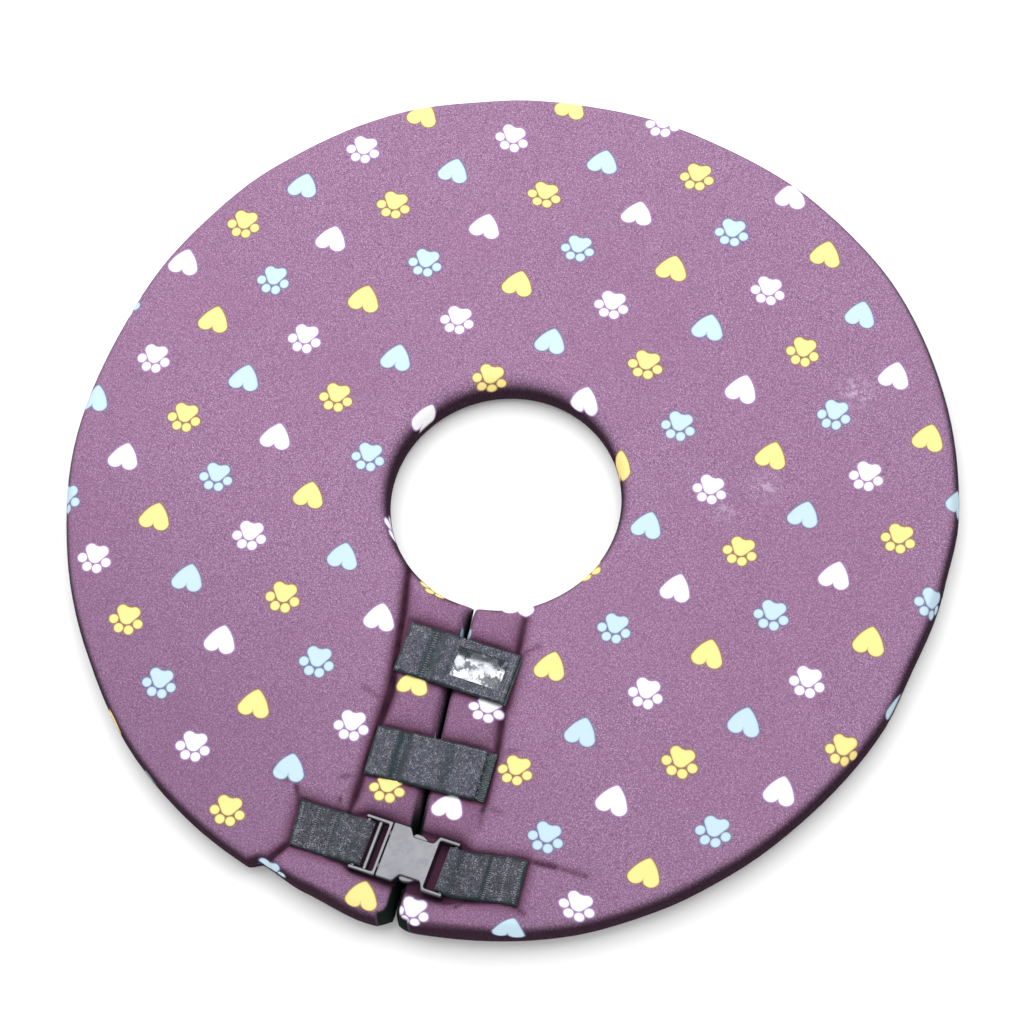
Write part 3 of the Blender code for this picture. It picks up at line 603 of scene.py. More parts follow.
def make_object(name, points, faces, material, uv=None, sharp_deg=None, marks=None):
    """A smooth-shaded mesh object; uv and marks hold values per point."""
    mesh = bpy.data.meshes.new(name)
    mesh.from_pydata([tuple(p) for p in np.asarray(points, float).tolist()], [], faces)
    if uv is not None:
        layer = mesh.uv_layers.new(name="fabric")
        corners = np.zeros(len(mesh.loops), np.int32)
        mesh.loops.foreach_get("vertex_index", corners)
        layer.data.foreach_set("uv", np.asarray(uv, np.float32)[corners].ravel())
    for key, values in (marks or {}).items():
        attribute = mesh.attributes.new(key, "FLOAT", "POINT")
        attribute.data.foreach_set("value", np.asarray(values, np.float32))
    mesh.shade_smooth()
    if sharp_deg is not None:
        mesh.set_sharp_from_angle(angle=math.radians(sharp_deg))
    mesh.materials.append(material)
    thing = bpy.data.objects.new(name, mesh)
    bpy.context.scene.collection.objects.link(thing)
    return thing


def tidy_normals(thing):
    shape = bmesh.new()
    shape.from_mesh(thing.data)
    bmesh.ops.remove_doubles(shape, verts=shape.verts, dist=1e-6)
    bmesh.ops.recalc_face_normals(shape, faces=shape.faces)
    shape.to_mesh(thing.data)
    shape.free()


def tube_faces(sections, around):
    """Quads of a closed tube through sections of as many points, with its two end caps."""
    faces = [tuple(range(around)), tuple(range((sections - 1) * around, sections * around))]
    for k in range(sections - 1):
        a, b = k * around, (k + 1) * around
        for i in range(around):
            j = (i + 1) % around
            faces.append((a + i, a + j, b + j, b + i))
    return faces


def make_disc(cloth):
    points, flat = disc_grid()
    sections, around = points.shape[:2]
    uv = fabric_place(flat).reshape(-1, 2)
    points = points.reshape(-1, 3)
    x, y = points[:, 0], points[:, 1]
    # Per-point marks for painted shade: in the pad's hollows, and in thin lines along its creases and folds
    marks = {"hollow_shade": np.clip(pad_sunk(x, y) / HOLLOW_SHADE_FULL, 0, 1) ** 0.6, "crease_shadow": crease_shadow_lines(x, y)}
    thing = make_object("cloth_pad", points, tube_faces(sections, around), cloth, uv, marks=marks)
    tidy_normals(thing)
    return thing


# Straps and webbing


def band(name, place, u, v, low, high, material, edge=0.0006):
    """A strap from grids of its underside and upper face by length and width. place(u, v)
    gives a plan point; the edge margin is not used."""
    nu, nv = len(u), len(v)
    grid_u, grid_v = np.meshgrid(u, v, indexing="ij")
    x, y = place(grid_u, grid_v)
    top = np.stack([x, y, high], -1)
    bottom = np.stack([x, y, low], -1)[:, ::-1]
    sections = np.concatenate([top, bottom], 1)
    points = sections.reshape(-1, 3)
    around = 2 * nv
    faces = []
    for k in range(nu - 1):
        a, b = k * around, (k + 1) * around
        for i in range(around):
            j = (i + 1) % around
            faces.append((a + i, a + j, b + j, b + i))
    for k, flip in ((0, False), (nu - 1, True)):
        start = k * around
        for i in range(nv - 1):
            quad = (start + i, start + i + 1, start + around - 2 - i, start + around - 1 - i)
            faces.append(quad[::-1] if flip else quad)
    uv = np.concatenate([np.stack([grid_u, grid_v], -1), np.stack([grid_u, grid_v], -1)[:, ::-1]], 1)
    thing = make_object(name, points, faces, material, uv.reshape(-1, 2), sharp_deg=55)
    shape = bmesh.new()
    shape.from_mesh(thing.data)
    bmesh.ops.recalc_face_normals(shape, faces=shape.faces)
    shape.to_mesh(thing.data)
    shape.free()
    return thing


def edge_fall(v, half, reach):
    """1 over a strap's width, falling in a quarter circle at its long edges."""
    return rounded((half - np.abs(v)) / reach)


# Height of a hook-and-loop strap along its length. Columns: along, as a share of the length;
# lift of the underside, as a share of the patch below and its clearance; thickness, as a
# share of TAPE_THICKNESS
STRAP_SECTIONS = (
    (0.00, 0.00, 0.85),
    (0.02, 0.00, 1.05),
    (0.10, 0.00, 1.25),
    (0.19, 0.00, 1.25),
    (0.235, 0.00, 0.60),
    (0.265, 0.02, 0.95),
    (0.300, 0.10, 0.35),
    (0.345, 0.30, 1.85),
    (0.42, 0.85, 1.25),
    (0.54, 1.00, 1.22),
    (0.635, 0.96, 1.10),
    (0.670, 0.96, 0.55),
    (0.710, 1.00, 1.15),
    (0.92, 1.00, 1.22),
    (1.00, 1.00, 1.05),
)


def strap_surface(u, v, lay, left, right, window):
    """Heights of a hook-and-loop strap's underside and upper face."""
    share = (u + left) / (left + right)
    along = column(STRAP_SECTIONS, 0)
    lift = np.interp(share, along, column(STRAP_SECTIONS, 1))
    thick = TAPE_THICKNESS * np.interp(share, along, column(STRAP_SECTIONS, 2))
    low = PAD_THICKNESS - SEAT_DEPTH + CLEARANCE + lift * (PATCH_THICKNESS + CLEARANCE)
    fall = edge_fall(v, lay.width / 2, TAPE_EDGE_ROUND)
    fall = fall * rounded(np.minimum(u + left, right - u) / TAPE_EDGE_ROUND)
    high = low + thick * (0.35 + 0.65 * fall) + 0.6 * unevenness(u * 4, v * 4)
    if window:
        high = high - WINDOW_DEPTH * window_depth(u, v, lay)
    return low, high


def window_depth(u, v, lay):
    """How deep the flap's window is sunk at a place on the strap, in shares."""
    right = ID_STRAP_RIGHT - WINDOW_FROM_END
    low = -lay.width / 2 + WINDOW_FROM_LOWER_EDGE
    inside = np.minimum(
        np.minimum(right - u, u - right + WINDOW_LENGTH),
        np.minimum(v - low, low + WINDOW_HEIGHT - v),
    )
    return smooth(inside / 0.0004)


def make_strap(name, lay, left, right, material, window=False):
    u = np.arange(-left, right + 1e-6, 0.0004)
    v = np.arange(-lay.width / 2, lay.width / 2 + 1e-6, 0.0004)
    grid_u, grid_v = np.meshgrid(u, v, indexing="ij")
    low, high = strap_surface(grid_u, grid_v, lay, left, right, window)
    return band(name, lay.place, u, v, low, high, material)


def threads(name, marks, place, height, radius, material):
    """Sewn threads: each mark is a short bead from (u1, v1) to (u2, v2) on a surface."""
    marks = np.asarray(marks, float)
    ends = []
    for k in (0, 2):
        u, v = marks[:, k], marks[:, k + 1]
        x, y = place(u, v)
        ends.append(np.stack([x, y, height(u, v)], -1))
    shares = (0.0, 0.12, 0.5, 0.88, 1.0)
    swell = (0.15, 0.8, 1.15, 0.8, 0.15)
    around = 6
    points, faces = [], []
    for start, end in zip(*ends):
        along = end - start
        side = np.cross(along, (0.0, 0.0, 1.0))
        side /= np.linalg.norm(side)
        first = len(points)
        for share, size in zip(shares, swell):
            for k in range(around):
                turn = 2 * math.pi * k / around
                rise = radius * size * math.sin(turn) + radius * 0.3 * size
                points.append(start + along * share + side * radius * size * math.cos(turn)
                              + np.array((0.0, 0.0, rise)))
        faces += [tuple(first + i for i in face) for face in tube_faces(len(shares), around)]
    thing = make_object(name, points, faces, material)
    tidy_normals(thing)
    return thing


def dashes(start, end, length, gap):
    """Marks of a straight sewn line."""
    start, end = np.array(start), np.array(end)
    size = np.linalg.norm(end - start)
    along = (end - start) / size
    count = int(size / (length + gap))
    places = [start + along * k * (length + gap) for k in range(count)]
    return [(*p, *(p + along * length)) for p in places]


def ladder(at, low, high, half, step):
    """Marks of a column of threads across a strap, each lying along it."""
    rng = np.random.default_rng(3)
    marks = []
    for v in np.arange(low, high, step):
        lean = rng.uniform(-0.3, 0.3) * step
        marks.append((at - half, v - lean, at + half, v + lean))
    return marks


def make_patch(name, lay, right, material):
    u = np.arange(PATCH_START, right + 1e-6, 0.0006)
    half = lay.width / 2 - CLEARANCE
    v = np.arange(-half, half + 1e-6, 0.0006)
    grid_u, grid_v = np.meshgrid(u, v, indexing="ij")
    low = np.full_like(grid_u, PAD_THICKNESS - SEAT_DEPTH + CLEARANCE)
    ends = rounded(np.minimum(right - grid_u, half - np.abs(grid_v)) / TAPE_EDGE_ROUND)
    return band(name, lay.place, u, v, low, low + PATCH_THICKNESS * (0.4 + 0.6 * ends), material)


def window_sheet(name, lay, low, thickness, margin, material, crinkle=0.0):
    """A thin rectangle in the flap's window, drawn in by a margin."""
    right = ID_STRAP_RIGHT - WINDOW_FROM_END - margin
    u = np.linspace(right - WINDOW_LENGTH + 2 * margin, right, 60)
    bottom = -lay.width / 2 + WINDOW_FROM_LOWER_EDGE + margin
    v = np.linspace(bottom, bottom + WINDOW_HEIGHT - 2 * margin, 40)
    grid_u, grid_v = np.meshgrid(u, v, indexing="ij")
    wave = crinkle * unevenness(grid_u * 9, grid_v * 9) / (0.02 * PAD_THICKNESS)
    base = low + np.maximum(wave, -0.8 * crinkle)
    return band(name, lay.place, u, v, base, base + thickness, material)


# The buckle's own frame: u along it to the right, v across it, both from its centre


def male_length():
    return 4 * BAR_RADIUS + 2 * SLOT_LENGTH + ARM_WIDTH


def female_length():
    return FEMALE_PLATE_LENGTH + WINDOW_SPAN + FLARE_LENGTH + FEMALE_END_LENGTH


def mouth_u():
    """Where the socket's open end is, with the two halves centred as one."""
    return -(male_length() + MOUTH_CLEARANCE + female_length()) / 2 + male_length() + MOUTH_CLEARANCE


def left_bar_u():
    return mouth_u() - MOUTH_CLEARANCE - male_length() + BAR_RADIUS + BAR_INSET


def right_bar_u():
    return mouth_u() + female_length() - BAR_RADIUS - BAR_INSET


def buckle_middle_z():
    return PAD_THICKNESS - BUCKLE_SEAT_DEPTH + CLEARANCE + BUCKLE_HEIGHT / 2


def buckle_plan(u, v):
    """A point of the buckle's frame in plan."""
    a = math.radians(BUCKLE_SLANT_DEG)
    x = BUCKLE_CENTRE_X + u * math.cos(a) - v * math.sin(a)
    y = buckle_y() + u * math.sin(a) + v * math.cos(a)
    return x, y


def fillet(outline, radius, steps=4):
    """The outline with its corners rounded."""
    points = []
    count = len(outline)
    for k in range(count):
        corner = Vector(outline[k])
        before = Vector(outline[k - 1]) - corner
        after = Vector(outline[(k + 1) % count]) - corner
        cut = min(radius, before.length * 0.45, after.length * 0.45)
        start = corner + before.normalized() * cut
        end = corner + after.normalized() * cut
        for i in range(steps + 1):
            t = i / steps
            points.append(tuple((1 - t) ** 2 * start + 2 * t * (1 - t) * corner + t * t * end))
    return points


def inset(outline, depth):
    """An outline drawn in by a depth, with mitred corners."""
    loop = np.array(outline)
    ahead = np.roll(loop, -1, 0) - loop
    turn = np.sign(np.sum(loop[:, 0] * np.roll(loop[:, 1], -1) - np.roll(loop[:, 0], -1) * loop[:, 1]))
    inward = turn * np.stack((-ahead[:, 1], ahead[:, 0]), 1) / np.linalg.norm(ahead, axis=1)[:, None]
    before = np.roll(inward, 1, 0)
    mitre = (inward + before) / (1 + np.sum(inward * before, 1))[:, None]
    return loop + depth * mitre


def moulded(name, outline, low, high, round_edge, material, crown=0.0):
    """A moulded plate on an outline in the buckle's frame, with rounded edges; heights are
    from the buckle's middle."""
    radius = min(round_edge, 0.48 * (high - low))
    arc = np.radians(np.linspace(0, 90, EDGE_STEPS))
    levels = [(radius * (1 - math.sin(a)), low + radius * (1 - math.cos(a))) for a in arc]
    levels += [(radius * (1 - math.sin(a)), high - radius * (1 - math.cos(a))) for a in arc[::-1]]
    half = buckle_width() / 2
    rings = []
    for depth, z in levels:
        u, v = inset(outline, depth).T
        x, y = buckle_plan(u, v)
        top = np.full_like(u, z) - crown * (v / half) ** 2 * (z > 0)
        rings.append(np.stack((x, y, buckle_middle_z() + top), 1))
    count = len(outline)
    shape = bmesh.new()
    points = [shape.verts.new(p) for p in np.concatenate(rings)]
    for row in range(len(levels) - 1):
        for i in range(count):
            a, b = row * count + i, row * count + (i + 1) % count
            shape.faces.new((points[a], points[b], points[b + count], points[a + count]))
    for first in (0, (len(levels) - 1) * count):
        ring = points[first:first + count]
        edges = [shape.edges.get((ring[i - 1], ring[i])) for i in range(count)]
        bmesh.ops.triangle_fill(shape, use_beauty=True, use_dissolve=False, edges=edges)
    bmesh.ops.recalc_face_normals(shape, faces=shape.faces)
    mesh = bpy.data.meshes.new(name)
    shape.to_mesh(mesh)
    shape.free()
    mesh.shade_smooth()
    mesh.set_sharp_from_angle(angle=math.radians(35))
    mesh.materials.append(material)
    thing = bpy.data.objects.new(name, mesh)
    bpy.context.scene.collection.objects.link(thing)
    return thing


def both_sides(half):
    """A closed outline from its upper half."""
    return half + [(u, -v) for u, v in half[::-1]]


def rod(name, u, v_from, v_to, material, radius=BAR_RADIUS, sides=24):
    """A round bar across the buckle."""
    points = []
    a = math.radians(BUCKLE_SLANT_DEG)
    for v in (v_from, v_to):
        x, y = buckle_plan(u, v)
        for k in range(sides):
            turn = 2 * math.pi * k / sides
            step = radius * math.cos(turn)
            points.append((x + step * math.cos(a), y + step * math.sin(a),
                           buckle_middle_z() + radius * math.sin(turn)))
    thing = make_object(name, points, tube_faces(2, sides), material, sharp_deg=40)
    tidy_normals(thing)
    return thing


def joined(things, name):
    """One object from several meshes of the same material."""
    shape = bmesh.new()
    for thing in things:
        shape.from_mesh(thing.data)
    mesh = bpy.data.meshes.new(name)
    shape.to_mesh(mesh)
    shape.free()
    mesh.materials.append(things[0].data.materials[0])
    for thing in things:
        bpy.data.objects.remove(thing, do_unlink=True)
    whole = bpy.data.objects.new(name, mesh)
    bpy.context.scene.collection.objects.link(whole)
    return whole


def make_male(plastic):
    """The frame with two round bars, and two sprung prongs."""
    half = buckle_width() / 2
    inside = half - ARM_WIDTH
    right = mouth_u() - MOUTH_CLEARANCE
    left = right - male_length()
    web = right - ARM_WIDTH
    f = FRAME_HEIGHT / 2
    outline = fillet([(left, half), (right, half), (right, -half), (left, -half),
                      (left, -inside), (web, -inside), (web, inside), (left, inside)], 0.0009)
    pieces = [moulded("frame", outline, -f, f, MOULDED_ROUND, plastic)]
    reach = inside + ARM_WIDTH / 2
    for u in (left_bar_u(), left_bar_u() + 2 * BAR_RADIUS + SLOT_LENGTH):
        pieces.append(rod("bar", u, -reach, reach, plastic))
    lift = BUCKLE_HEIGHT / 2 - SHELL_WALL - CLEARANCE
    cavity = half - SHELL_WALL - CLEARANCE
    window = mouth_u() + FEMALE_PLATE_LENGTH + ARM_WIDTH
    window_end = mouth_u() + FEMALE_PLATE_LENGTH + WINDOW_SPAN - CLEARANCE
    arm_out = WAIST_HALF_WIDTH
    arm_in = arm_out - PRONG_ARM_WIDTH
    back = right - ARM_WIDTH / 2
    for side in (-1, 1):
        prong = [
            (back, arm_in), (back, arm_out), (window - ARM_WIDTH, arm_out),
            (window, min(arm_out + TAB_BULGE, cavity)),
            ((window + window_end) / 2, min(arm_out + TAB_TAPER * TAB_BULGE, cavity)),
            (window_end, arm_out - PRONG_ARM_WIDTH / 2), (window_end, arm_in),
        ]
        outline = fillet([(u, side * v) for u, v in prong], 0.0020)
        pieces.append(moulded("prong", outline, -lift, lift, MOULDED_ROUND, plastic))
    return joined(pieces, "buckle_frame_and_prongs")


def female_outline():
    """The socket's plan: a wide plate, a waist with side windows, and two arms at the end."""
    half = buckle_width() / 2
    u = mouth_u()
    plate = u + FEMALE_PLATE_LENGTH
    waist = plate + WINDOW_SPAN
    flare = waist + FLARE_LENGTH
    end = flare + FEMALE_END_LENGTH
    c = ARM_WIDTH
    return both_sides([
        (u, half), (plate - c / 2, half), (plate + c * 0.8, WAIST_HALF_WIDTH),
        (waist, WAIST_HALF_WIDTH), (flare - c / 2, half), (end, half), (end, half - c),
        (flare, half - c),
    ])


def make_female(plastic):
    """The socket's shell with the bar that the right webbing wraps."""
    h = BUCKLE_HEIGHT / 2
    shell = moulded("shell", fillet(female_outline(), 0.0011), -h, h, MOULDED_ROUND, plastic, crown=0.0003)
    reach = buckle_width() / 2 - ARM_WIDTH / 2
    return joined([shell, rod("end_bar", right_bar_u(), -reach, reach, plastic)], "buckle_socket")


def webbing_rows(length, stitch):
    """Sections (t, low, high) of a webbing strap that wraps a bar at t = 0 and is sewn
    down at t = length, heights from the buckle's middle."""
    wrap = BAR_RADIUS + CLEARANCE + WEBBING_THICKNESS
    ground = -BUCKLE_HEIGHT / 2
    single = ground + WEBBING_THICKNESS
    double = ground + 2 * WEBBING_THICKNESS + CLEARANCE
    rows = []
    for k in range(1, 9):
        turn = math.pi / 2 * k / 8
        rows.append((-wrap * math.cos(turn), -wrap * math.sin(turn), wrap * math.sin(turn)))
    ridge = length - stitch
    puffed = double + WEBBING_THICKNESS * 0.35
    rows.append((wrap, -wrap + (ground + wrap) * 0.7, wrap + (puffed - wrap) * 0.35))
    rows.append((wrap * 1.7, ground, wrap + (puffed - wrap) * 0.8))
    rows.append((wrap * 2.4, ground, puffed))
    rows.append(((wrap * 2.4 + ridge) / 2, ground, puffed + WEBBING_THICKNESS * 0.1))
    rows.append((ridge - 2 * WEBBING_THICKNESS, ground, double + WEBBING_THICKNESS * 0.2))
    rows.append((ridge - WEBBING_THICKNESS * 0.3, ground, double))
    rows.append((ridge, ground, single + WEBBING_THICKNESS * 0.2))
    rows.append((ridge + WEBBING_THICKNESS, ground, single))
    rows.append(((ridge + length) / 2, ground, single + WEBBING_THICKNESS * 0.35))
    rows.append((length - WEBBING_THICKNESS, ground, single + WEBBING_THICKNESS * 0.1))
    rows.append((length, ground, single - WEBBING_THICKNESS * 0.4))
    return rows


def webbing_along(side, end, rise, stitch_from_end):
    """A webbing strap's length, plan and heights, with its loop round a bar of the buckle."""
    bar_u = left_bar_u() if side < 0 else right_bar_u()
    a = math.radians(BUCKLE_SLANT_DEG)
    start = buckle_plan(bar_u, 0.0)
    length = abs(side * end - start[0]) / math.cos(a)
    rows = np.array(webbing_rows(length, stitch_from_end))

    def place(t, v):
        turn = smooth(t / length)
        lean = a * (1 - turn)
        x = start[0] + side * t * math.cos(a)
        y = start[1] + side * t * math.sin(a) + rise * turn
        return x - v * np.sin(lean), y + v * np.cos(lean)

    def surface(t, v):
        low, high = np.interp(t, rows[:, 0], rows[:, 1]), np.interp(t, rows[:, 0], rows[:, 2])
        fall = edge_fall(v, WEBBING_WIDTH / 2, TAPE_EDGE_ROUND)
        middle = (low + high) / 2
        upper = middle + (high - middle) * (0.5 + 0.5 * fall)
        lower = middle + (low - middle) * (0.6 + 0.4 * fall)
        upper = upper + 0.65 * unevenness(t * 4 + side, v * 4) * smooth(t / 0.01)
        return buckle_middle_z() + lower, buckle_middle_z() + upper

    return length, rows, place, surface


def make_webbing(name, course, material):
    """A sewn webbing strap whose loop holds one bar of the buckle."""
    length, rows, place, surface = course
    t = np.unique(np.concatenate([rows[:9, 0], np.arange(rows[8, 0], length, 0.0005), [length]]))
    v = np.linspace(-WEBBING_WIDTH / 2, WEBBING_WIDTH / 2, 62)
    low, high = surface(*np.meshgrid(t, v, indexing="ij"))
    return band(name, place, t, v, low, high, material)


# Materials


class Graph:
    """A material whose nodes are added with short calls."""

    def __init__(self, name):
        self.material = bpy.data.materials.new(name)
        self.material.use_nodes = True
        self.tree = self.material.node_tree
        self.shader = self.tree.nodes["Principled BSDF"]
        self.column = 0

    def node(self, kind, **settings):
        node = self.tree.nodes.new("ShaderNode" + kind)
        for key, value in settings.items():
            setattr(node, key, value)
        self.column += 1
        node.location = (-220 * (self.column % 12) - 300, -180 * (self.column // 12))
        return node

    def put(self, socket, value):
        if isinstance(value, bpy.types.NodeSocket):
            self.tree.links.new(value, socket)
        elif hasattr(value, "__len__") and len(value) == 3 and socket.type == "RGBA":
            socket.default_value = (*value, 1.0)
        else:
            socket.default_value = value

    def math(self, operation, *values):
        node = self.node("Math", operation=operation)
        for socket, value in zip(node.inputs, values):
            self.put(socket, value)
        return node.outputs[0]

    def vector(self, operation, *values, result="Vector"):
        node = self.node("VectorMath", operation=operation)
        for socket, value in zip(node.inputs, values):
            self.put(socket, value)
        return node.outputs[result]

    def dot(self, a, b):
        return self.vector("DOT_PRODUCT", a, b, result="Value")

    def length(self, a):
        return self.vector("LENGTH", a, result="Value")

    def point(self, x, y):
        node = self.node("CombineXYZ")
        self.put(node.inputs[0], x)
        self.put(node.inputs[1], y)
        return node.outputs[0]

    def parts(self, value):
        node = self.node("SeparateXYZ")
        self.put(node.inputs[0], value)
        return node.outputs[0], node.outputs[1]

    def step(self, value, low, high, start=0.0, end=1.0):
        """A smooth step of a value between two limits."""
        node = self.node("MapRange", interpolation_type="SMOOTHSTEP")
        for socket, number in zip(node.inputs, (value, low, high, start, end)):
            self.put(socket, number)
        return node.outputs[0]

    def mix(self, factor, a, b, mode="MIX"):
        node = self.node("Mix", data_type="RGBA", blend_type=mode)
        self.put(node.inputs[0], factor)
        self.put(node.inputs[6], a)
        self.put(node.inputs[7], b)
        return node.outputs[2]

    def noise(self, place, scale, detail=2.0, roughness=0.5):
        node = self.node("TexNoise")
        self.put(node.inputs["Vector"], place)
        self.put(node.inputs["Scale"], scale)
        self.put(node.inputs["Detail"], detail)
        self.put(node.inputs["Roughness"], roughness)
        return node.outputs[0]

    def cells(self, place, scale, feature="F1"):
        node = self.node("TexVoronoi", feature=feature)
        self.put(node.inputs["Vector"], place)
        self.put(node.inputs["Scale"], scale)
        return node.outputs["Distance"]

    def place(self):
        return self.node("TexCoord").outputs["Object"]

    def uv(self):
        return self.node("UVMap", uv_map="fabric").outputs[0]

    def facing(self):
        """How far the surface faces up: 1 on top, 0 at the sides, -1 below."""
        return self.dot(self.node("NewGeometry").outputs["Normal"], (0.0, 0.0, 1.0))

    def bump(self, height, distance, strength=1.0, normal=None):
        node = self.node("Bump")
        self.put(node.inputs["Height"], height)
        self.put(node.inputs["Distance"], distance)
        self.put(node.inputs["Strength"], strength)
        if normal is not None:
            self.put(node.inputs["Normal"], normal)
        return node.outputs[0]

    def finish(self, **inputs):
        for name, value in inputs.items():
            self.put(self.shader.inputs[name.replace("_", " ").title().replace("Ior", "IOR")], value)
        return self.material


def direction(degrees, size=1.0):
    a = math.radians(degrees)
    return size * math.cos(a), size * math.sin(a)


def print_cells(g):
    """The nearest motif's own coordinates in millimetres, its row parity and colour index."""
    ax, ay = direction(PRINT_STEP_DEG, PRINT_STEP)
    bx, by = direction(PRINT_ROW_DEG, PRINT_ROW)
    det = ax * by - ay * bx
    away = g.vector("SUBTRACT", g.uv(), (*PRINT_START, 0.0))
    i = g.math("ROUND", g.dot(away, (by / det, -bx / det, 0.0)))
    j = g.math("ROUND", g.dot(away, (-ay / det, ax / det, 0.0)))
    whole = g.vector("ADD", g.vector("MULTIPLY", g.point(i, i), (ax, ay, 0.0)),
                     g.vector("MULTIPLY", g.point(j, j), (bx, by, 0.0)))
    local = g.vector("SUBTRACT", away, whole)
    up, right = direction(MOTIF_UP_DEG, 1 / MM), direction(MOTIF_UP_DEG - 90, 1 / MM)
    x, y = g.dot(local, (*right, 0.0)), g.dot(local, (*up, 0.0))
    parity = g.math("FLOORED_MODULO", i, 2.0)
    colour = g.math("FLOORED_MODULO", g.math("SUBTRACT", j, i), 3.0)
    return x, y, parity, colour


def circle(g, x, y, centre, radius):
    away = g.length(g.vector("SUBTRACT", g.point(x, y), (*centre, 0.0)))
    return g.math("SUBTRACT", away, radius)


def heart(g, x, y):
    """Distance in millimetres from a heart's edge, negative inside; its tip is up."""
    x, y = g.math("MULTIPLY", x, 0.965), g.math("MULTIPLY", y, 1.07)
    side = g.math("ABSOLUTE", x)
    blunt = g.math("SUBTRACT", g.math("SQRT", g.math("MULTIPLY_ADD", x, x, 0.5)), 0.1)
    lobe = circle(g, side, y, (3.9, -3.4), 4.0)
    flank = circle(g, blunt, y, (-14.1, -9.0), 22.7)
    below = g.math("SUBTRACT", -3.4, y)
    return g.math("MINIMUM", lobe, g.math("MAXIMUM", flank, below))


def paw(g, x, y):
    """Distance in millimetres from a paw print's edge, negative inside; its toes are down."""
    side = g.math("ABSOLUTE", x)
    p = g.point(side, y)
    start, end = (3.3, 4.4), (0.0, 0.9)
    run = (end[0] - start[0], end[1] - start[1], 0.0)
    size = run[0] ** 2 + run[1] ** 2
    away = g.vector("SUBTRACT", p, (*start, 0.0))
    share = g.math("MULTIPLY", g.dot(away, run), 1 / size)
    share = g.math("MINIMUM", g.math("MAXIMUM", share, 0.0), 1.0)
    rest = g.vector("SUBTRACT", away, g.vector("MULTIPLY", g.point(share, share), run))
    limb = g.math("SUBTRACT", g.length(rest), g.math("MULTIPLY_ADD", share, 0.8, 3.0))
    middle = circle(g, side, y, (0.0, 3.0), 3.6)
    pad = g.math("SMOOTH_MIN", limb, middle, 1.2)
    outer = circle(g, side, y, (6.6, -1.3), 2.55)
    inner = circle(g, side, y, (2.75, -5.5), 2.55)
    return g.math("MINIMUM", pad, g.math("MINIMUM", outer, inner))


def flecks(g, place, turn_deg):
    """Short bright yarn ends that lie in one direction."""
    along, across = direction(turn_deg, 900.0), direction(turn_deg + 90, 2100.0)
    stretched = g.point(g.dot(place, (*along, 0.0)), g.dot(place, (*across, 0.0)))
    return g.step(g.noise(stretched, 1.0, 0.0, 0.5), 0.60, 0.74)


